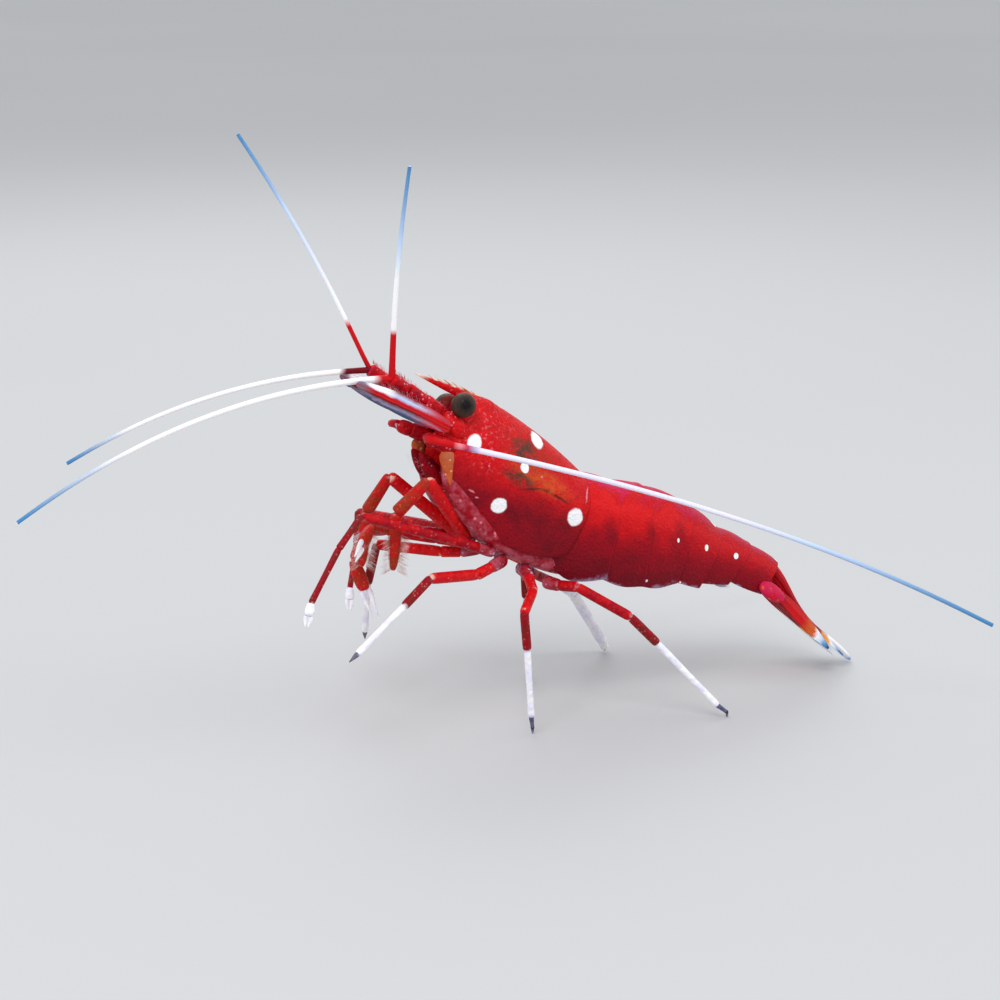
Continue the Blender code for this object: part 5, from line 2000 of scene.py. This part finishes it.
class Tone(Enum):
    """The finishes of a limb's articles, from the body out."""

    CORAL = FleshFinish("limb_coral", Ink.RUST, Ink.SCARLET, Ink.PEACH, 0.35, 4.0, joint=Ink.PINK)
    SCARLET = FleshFinish(
        "limb_scarlet", Ink.SCARLET, Ink.BRIGHT, Ink.PINK, 0.12, 2.8, joint=Ink.CREAM)
    CRIMSON = FleshFinish(
        "limb_crimson", Ink.CRIMSON, Ink.SCARLET, Ink.PINK, 0.15, 2.8, joint=Ink.PINK)
    HIP = FleshFinish(
        "limb_hip", Ink.CRIMSON, Ink.ROSE, Ink.LAVENDER, 0.6, 2.0, joint=Ink.LAVENDER)
    BROWN = FleshFinish(
        "limb_brown", Ink.BROWN, Ink.CRIMSON, Ink.CREAM, 0.10, 3.2, joint=Ink.WHITE)
    STICK = FleshFinish(
        "limb_white", Ink.WHITE, Ink.PEARL, Ink.LAVENDER, 0.04, 2.2, joint=Ink.LAVENDER)
    HORN = FleshFinish("limb_horn", Ink.GREY, Ink.STEEL, Ink.ICE, 0.3, 3.0, tip=Ink.NAVY)


@dataclass(frozen=True)
class Article:
    """One straight piece of a limb."""

    length: float
    root: float
    end: float
    form: Form
    tone: Tone
    flat: float = 0.92
    tufts: int = 0
    claw: bool = False
    reach: float = 0.0

    def model(self, finishes: dict[Tone, Skin]) -> Piece:
        """Model the article, standing on the origin.

        Args:
            finishes: The material of each tone.

        Returns:
            The article, dressed.
        """
        if self.claw:
            return self.pincer(finishes)
        length = self.length + 0.10
        stations = [(share * length - 0.05, factor * mix(self.root, self.end, max(share, 0.0)))
                    for share, factor in self.form.value]
        if self.reach:
            stations[:2] = [(-self.reach, self.root * 0.6), (-self.reach * 0.8, self.root * 0.95)]
        piece = turned("article", stations, 12, self.flat)
        coat(piece, finishes[self.tone])
        return piece

    def pincer(self, finishes: dict[Tone, Skin]) -> Piece:
        """Model a small pincer: a palm and two fingers that nearly meet.

        Args:
            finishes: The material of each tone.

        Returns:
            The pincer, dressed.
        """
        palm_length = self.length * 0.56
        palm = turned("palm", [(share * palm_length - 0.04, factor * self.root)
                               for share, factor in Form.CLUB.value], 12, 0.82)
        coat(palm, finishes[self.tone])
        finger_length = self.length * 0.50
        pieces = [palm]
        for edge in (-1.0, 1.0):
            thickness = self.end * (1.0 if edge > 0.0 else 0.85)
            finger = turned("finger", [(share * finger_length, factor * thickness)
                                       for share, factor in Form.CLAW.value], 8, 0.85)
            pick(finger, lambda place: place.z > finger_length * 0.6)
            bpy.ops.transform.translate(value=(-edge * self.end * 0.35, 0.0, 0.0))
            leave()
            finger.data.transform(
                Matrix.Translation((edge * self.root * 0.62, 0.0, palm_length * 0.93)))
            coat(finger, finishes[Tone.STICK])
            pieces.append(finger)
        return join("pincer", pieces)


@dataclass(frozen=True)
class Limb:
    """A kind of limb: where it is rooted, its articles, and how each side holds it."""

    name: str
    root: Place
    upper: tuple[Article, ...]
    lower: tuple[Article, ...]
    poses: dict[Side, tuple[Angles, ...]]
    slots: tuple[str, str] = ("leg_upper", "leg_lower")
    standing: bool = False

    def build(self, finishes: dict[Tone, Skin], bristles: Bristles) -> None:
        """Model each article once, and set copies of it on both sides.

        Args:
            finishes: The material of each tone.
            bristles: The bristles to set on it.
        """
        articles = self.upper + self.lower
        patterns = [article.model(finishes) for article in articles]
        for side in self.poses:
            back, out, up = self.root
            place = on_carapace(back, out * side.value, up)
            halves: tuple[list[Piece], list[Piece]] = ([], [])
            for index, (article, angles) in enumerate(zip(articles, self.poses[side])):
                along = heading(angles, side)
                across = Vector((0.0, 0.0, 1.0)) if abs(along.z) < 0.8 else REARWARD
                half = halves[0] if index < len(self.upper) else halves[1]
                half.append(copied(patterns[index], place, aim(along, across)))
                end = place + along * article.length
                half += self.dress(article, place, end, bristles)
                place = end
            if self.standing:
                half.append(self.foot(finishes, place))
            for half, part, slot in zip(halves, ("upper", "lower"), self.slots):
                name = f"{self.name}_{part}_{side.letter}"
                piece = join(name + "_shell", half)
                finish(piece, (name,), 70.0, 1)
        discard(patterns)

    @staticmethod
    def dress(article: Article, start: Vector, end: Vector, bristles: Bristles) -> list[Piece]:
        """Set an article's bristles.

        Args:
            article: The article.
            start: Its root.
            end: Its end.
            bristles: The bristles to copy.

        Returns:
            The bristles that were set.
        """
        hairs = []
        run = (end - start).normalized()
        for turn in range(3 if article.tufts else 0):
            away = Matrix.Rotation(math.tau * (turn + 0.25) / 3.0, 3, run) @ run.orthogonal()
            first = 0.35 if article.form is Form.CLUB else 0.1
            hairs += bristles.along(
                start.lerp(end, first), end, away, article.tufts, 0.36 + 0.006 * article.tufts,
                mix(article.root, article.end, 0.5) * 0.6)
        return hairs

    @staticmethod
    def foot(finishes: dict[Tone, Skin], place: Vector) -> Piece:
        """Model the last point of a standing leg, straight down to the ground.

        Args:
            finishes: The material of each tone.
            place: Where the leg's last article ends.

        Returns:
            The point.
        """
        height = place.z
        point = turned("foot", ((0.0, 0.05), (height * 0.3, 0.10), (height * 0.8, 0.14),
                                (height * 1.15, 0.13)), 10)
        coat(point, finishes[Tone.HORN])
        point.data.transform(Matrix.Translation((place.x, place.y, 0.0)))
        return point


def limbs() -> tuple[Limb, ...]:
    """Give every kind of limb, from the mouth back.

    Returns:
        The limbs. Where a pair's two sides differ in finish, each side is one of its own.
    """
    rod, club, claw, hip, shaft = Form.ROD, Form.CLUB, Form.CLAW, Form.HIP, Form.SHAFT
    coral, scarlet, crimson, brown = Tone.CORAL, Tone.SCARLET, Tone.CRIMSON, Tone.BROWN
    white, horn, dark = Tone.STICK, Tone.HORN, Tone.HIP
    left, right = Side.LEFT, Side.RIGHT
    thigh = (Article(1.4, 0.58, 0.52, hip, dark), Article(1.7, 0.49, 0.46, shaft, crimson))
    return (
        Limb("maxilliped", (3.2, 1.5, -5.05),
             (Article(7.0, 0.60, 0.55, shaft, scarlet, 0.9, 4, reach=1.5),),
             (Article(3.6, 0.50, 0.60, shaft, coral, 0.85, 10),
              Article(4.7, 0.66, 0.34, club, coral, 0.85, 110)),
             {left: ((32, 47), (-17, -45), (-12, -86)),
              right: ((-5, 41), (43, -57), (26, -84))}, ("jaw_leg", "jaw_leg")),
        Limb("leg_1", (4.75, 1.35, -5.3),
             (Article(1.3, 0.46, 0.44, hip, dark), Article(1.8, 0.44, 0.42, shaft, crimson),
              Article(4.2, 0.45, 0.42, shaft, crimson)),
             (Article(3.4, 0.42, 0.50, club, coral, 0.9, 8),
              Article(4.9, 0.56, 0.27, club, coral, 0.85, 10, True)),
             {left: ((-15, 2), (-20, 10), (-12, 12), (43, 16), (53, -16)),
              right: ((25, 6), (26, 6), (27, 8), (-2, -58), (-132, -67))}),
        Limb("leg_2", (6.1, 2.5, -5.3),
             (Article(1.6, 0.48, 0.46, hip, dark), Article(2.4, 0.45, 0.44, shaft, crimson),
              Article(10.0, 0.44, 0.40, shaft, crimson, 0.9)),
             (Article(3.2, 0.34, 0.31, rod, brown), Article(4.8, 0.30, 0.27, rod, brown),
              Article(1.9, 0.36, 0.22, club, white, 0.85, 0, True)),
             {left: ((9, 22), (14, 22), (14, 20), (19, -43), (17, -54), (21, -74)),
              right: ((30, 14), (72, 9), (75, -4), (-64, -43), (-59, -39), (-62, -60))}),
        Limb("leg_3", (7.4, 2.3, -5.4),
             (Article(1.7, 0.58, 0.52, hip, dark), Article(1.6, 0.50, 0.50, shaft, scarlet),
              Article(5.4, 0.50, 0.47, shaft, scarlet, 0.9)),
             (Article(3.4, 0.41, 0.39, shaft, brown, 0.9),
              Article(5.8, 0.33, 0.29, rod, white, 0.9), Article(1.0, 0.24, 0.16, claw, horn)),
             {left: ((27, -11), (21, -11), (21, 7), (23, -29), (20, -30), (23, -27)),
              right: ((14, -10), (19, 2), (19, 8), (4, -76), (107, -58), (112, -55))}),
        Limb("leg_4", (9.4, 2.35, -5.3),
             (Article(1.5, 0.60, 0.52, hip, dark), Article(1.7, 0.50, 0.47, shaft, scarlet),
              Article(4.0, 0.47, 0.45, shaft, scarlet, 0.9)),
             (Article(3.3, 0.40, 0.38, shaft, brown, 0.9),
              Article(5.9, 0.33, 0.29, rod, white, 0.9), Article(1.2, 0.23, 0.16, rod, horn)),
             {left: ((81, -11), (79, -29), (54, -11), (-137, -78), (-144, -83), (-127, -64)),
              right: ((131, -8), (131, -12), (135, -22), (159, -86), (162, -88), (150, -73))},
             standing=True),
        Limb("leg_5", (11.7, 2.4, -5.35),
             (*thigh, Article(5.0, 0.45, 0.43, shaft, crimson, 0.9)),
             (Article(3.3, 0.40, 0.38, shaft, brown, 0.9),
              Article(7.5, 0.33, 0.29, rod, white, 0.9), Article(1.1, 0.23, 0.16, rod, horn)),
             {left: ((125, -6), (122, 4), (142, -27), (169, -46), (161, -47), (175, -38))},
             standing=True),
        Limb("leg_5", (11.7, 2.4, -5.35),
             (*thigh, Article(5.0, 0.45, 0.43, shaft, crimson, 0.9)),
             (Article(3.3, 0.46, 0.50, shaft, white, 0.9),
              Article(7.5, 0.56, 0.54, rod, white, 0.9), Article(1.1, 0.53, 0.38, rod, white)),
             {right: ((150, -20), (137, -24), (145, -24), (136, -24), (147, -47), (147, -55))},
             standing=True),
    )


@dataclass
class Studio:
    """The pale floor, the soft lights and the camera.

    A lamp is given by its name, its place, its size and its power.
    """

    floor_size: float = 4000.0
    floor_gap: float = 0.1
    sky: Place = (0.97, 0.98, 1.0)
    sky_strength: float = 0.85
    middle: Place = (-5.0, 0.0, 18.0)
    camera: Place = (-101.20, -201.26, 69.20)
    azimuth: float = -25.0
    elevation: float = 13.0
    lens: float = 100.0
    lamps: tuple[tuple[str, Place, float, float], ...] = (
        ("key", (-190.0, -230.0, 330.0), 170.0, 0.75),
        ("fill", (260.0, -160.0, 190.0), 220.0, 0.20),
        ("rim", (60.0, 280.0, 260.0), 180.0, 0.30))

    def build(self) -> None:
        """Lay the floor, hang the lights and place the camera."""
        origin = datum()
        bpy.ops.object.select_all(action="DESELECT")
        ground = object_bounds()[0][2] - self.floor_gap * MM
        bpy.ops.mesh.primitive_plane_add(size=self.floor_size * MM, location=(0.0, 0.0, ground))
        floor = bpy.context.object
        floor.name = "floor"
        pot = Recipe("floor_paint")
        cloud = pot.noise(pot.place(), 0.004, 2.0)
        pot.surface(
            pot.tint(pot.span(cloud, 0.2, 0.8, 0.0, 0.5), Ink.PAPER, Ink.STONE), 0.8, 0.0, 0.0)
        coat(floor, pot.material)
        floor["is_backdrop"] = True
        for name, place, size, power in self.lamps:
            bpy.ops.object.light_add(type="AREA", location=origin + Vector(place) * MM)
            lamp = bpy.context.object
            lamp.name = name
            lamp.data.size = size * MM
            lamp.data.energy = power
            lamp.rotation_euler = aim(Vector(place) - Vector(self.middle)).to_euler()
        world = bpy.data.worlds.new("sky")
        world.use_nodes = True
        sky = world.node_tree.nodes["Background"].inputs
        sky["Color"].default_value = (*self.sky, 1.0)
        sky["Strength"].default_value = self.sky_strength
        bpy.context.scene.world = world
        bpy.ops.object.camera_add(
            location=origin + Vector(self.camera) * MM,
            rotation=(math.radians(90.0 - self.elevation), 0.0, math.radians(self.azimuth)))
        camera = bpy.context.object
        camera.data.lens = self.lens
        camera.data.clip_start = 0.01
        bpy.context.scene.camera = camera
        bpy.context.scene.view_settings.view_transform = "Standard"


def main() -> None:
    """Build the shrimp piece by piece."""
    logging.basicConfig(level=logging.INFO, format="%(message)s")
    for start in ("Cube", "Light", "Camera"):
        if start in bpy.data.objects:
            bpy.data.objects.remove(bpy.data.objects[start])
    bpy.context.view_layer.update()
    Carapace().build()
    Trunk().build()
    Abdomen().build()
    TailFan().build()
    Eyes().build()
    bristles = Bristles()
    Antennules().build()
    Antennae().build(bristles)
    Mouthparts().build(bristles)
    finishes = {tone: tone.value.make() for tone in Tone}
    bristles.dye(GlassFinish("limb_bristle_glass", Ink.PEACH, 0.15).make())
    for limb in limbs():
        limb.build(finishes, bristles)
    bristles.put_away()
    Studio().build()


if __name__ == "__main__":
    main()
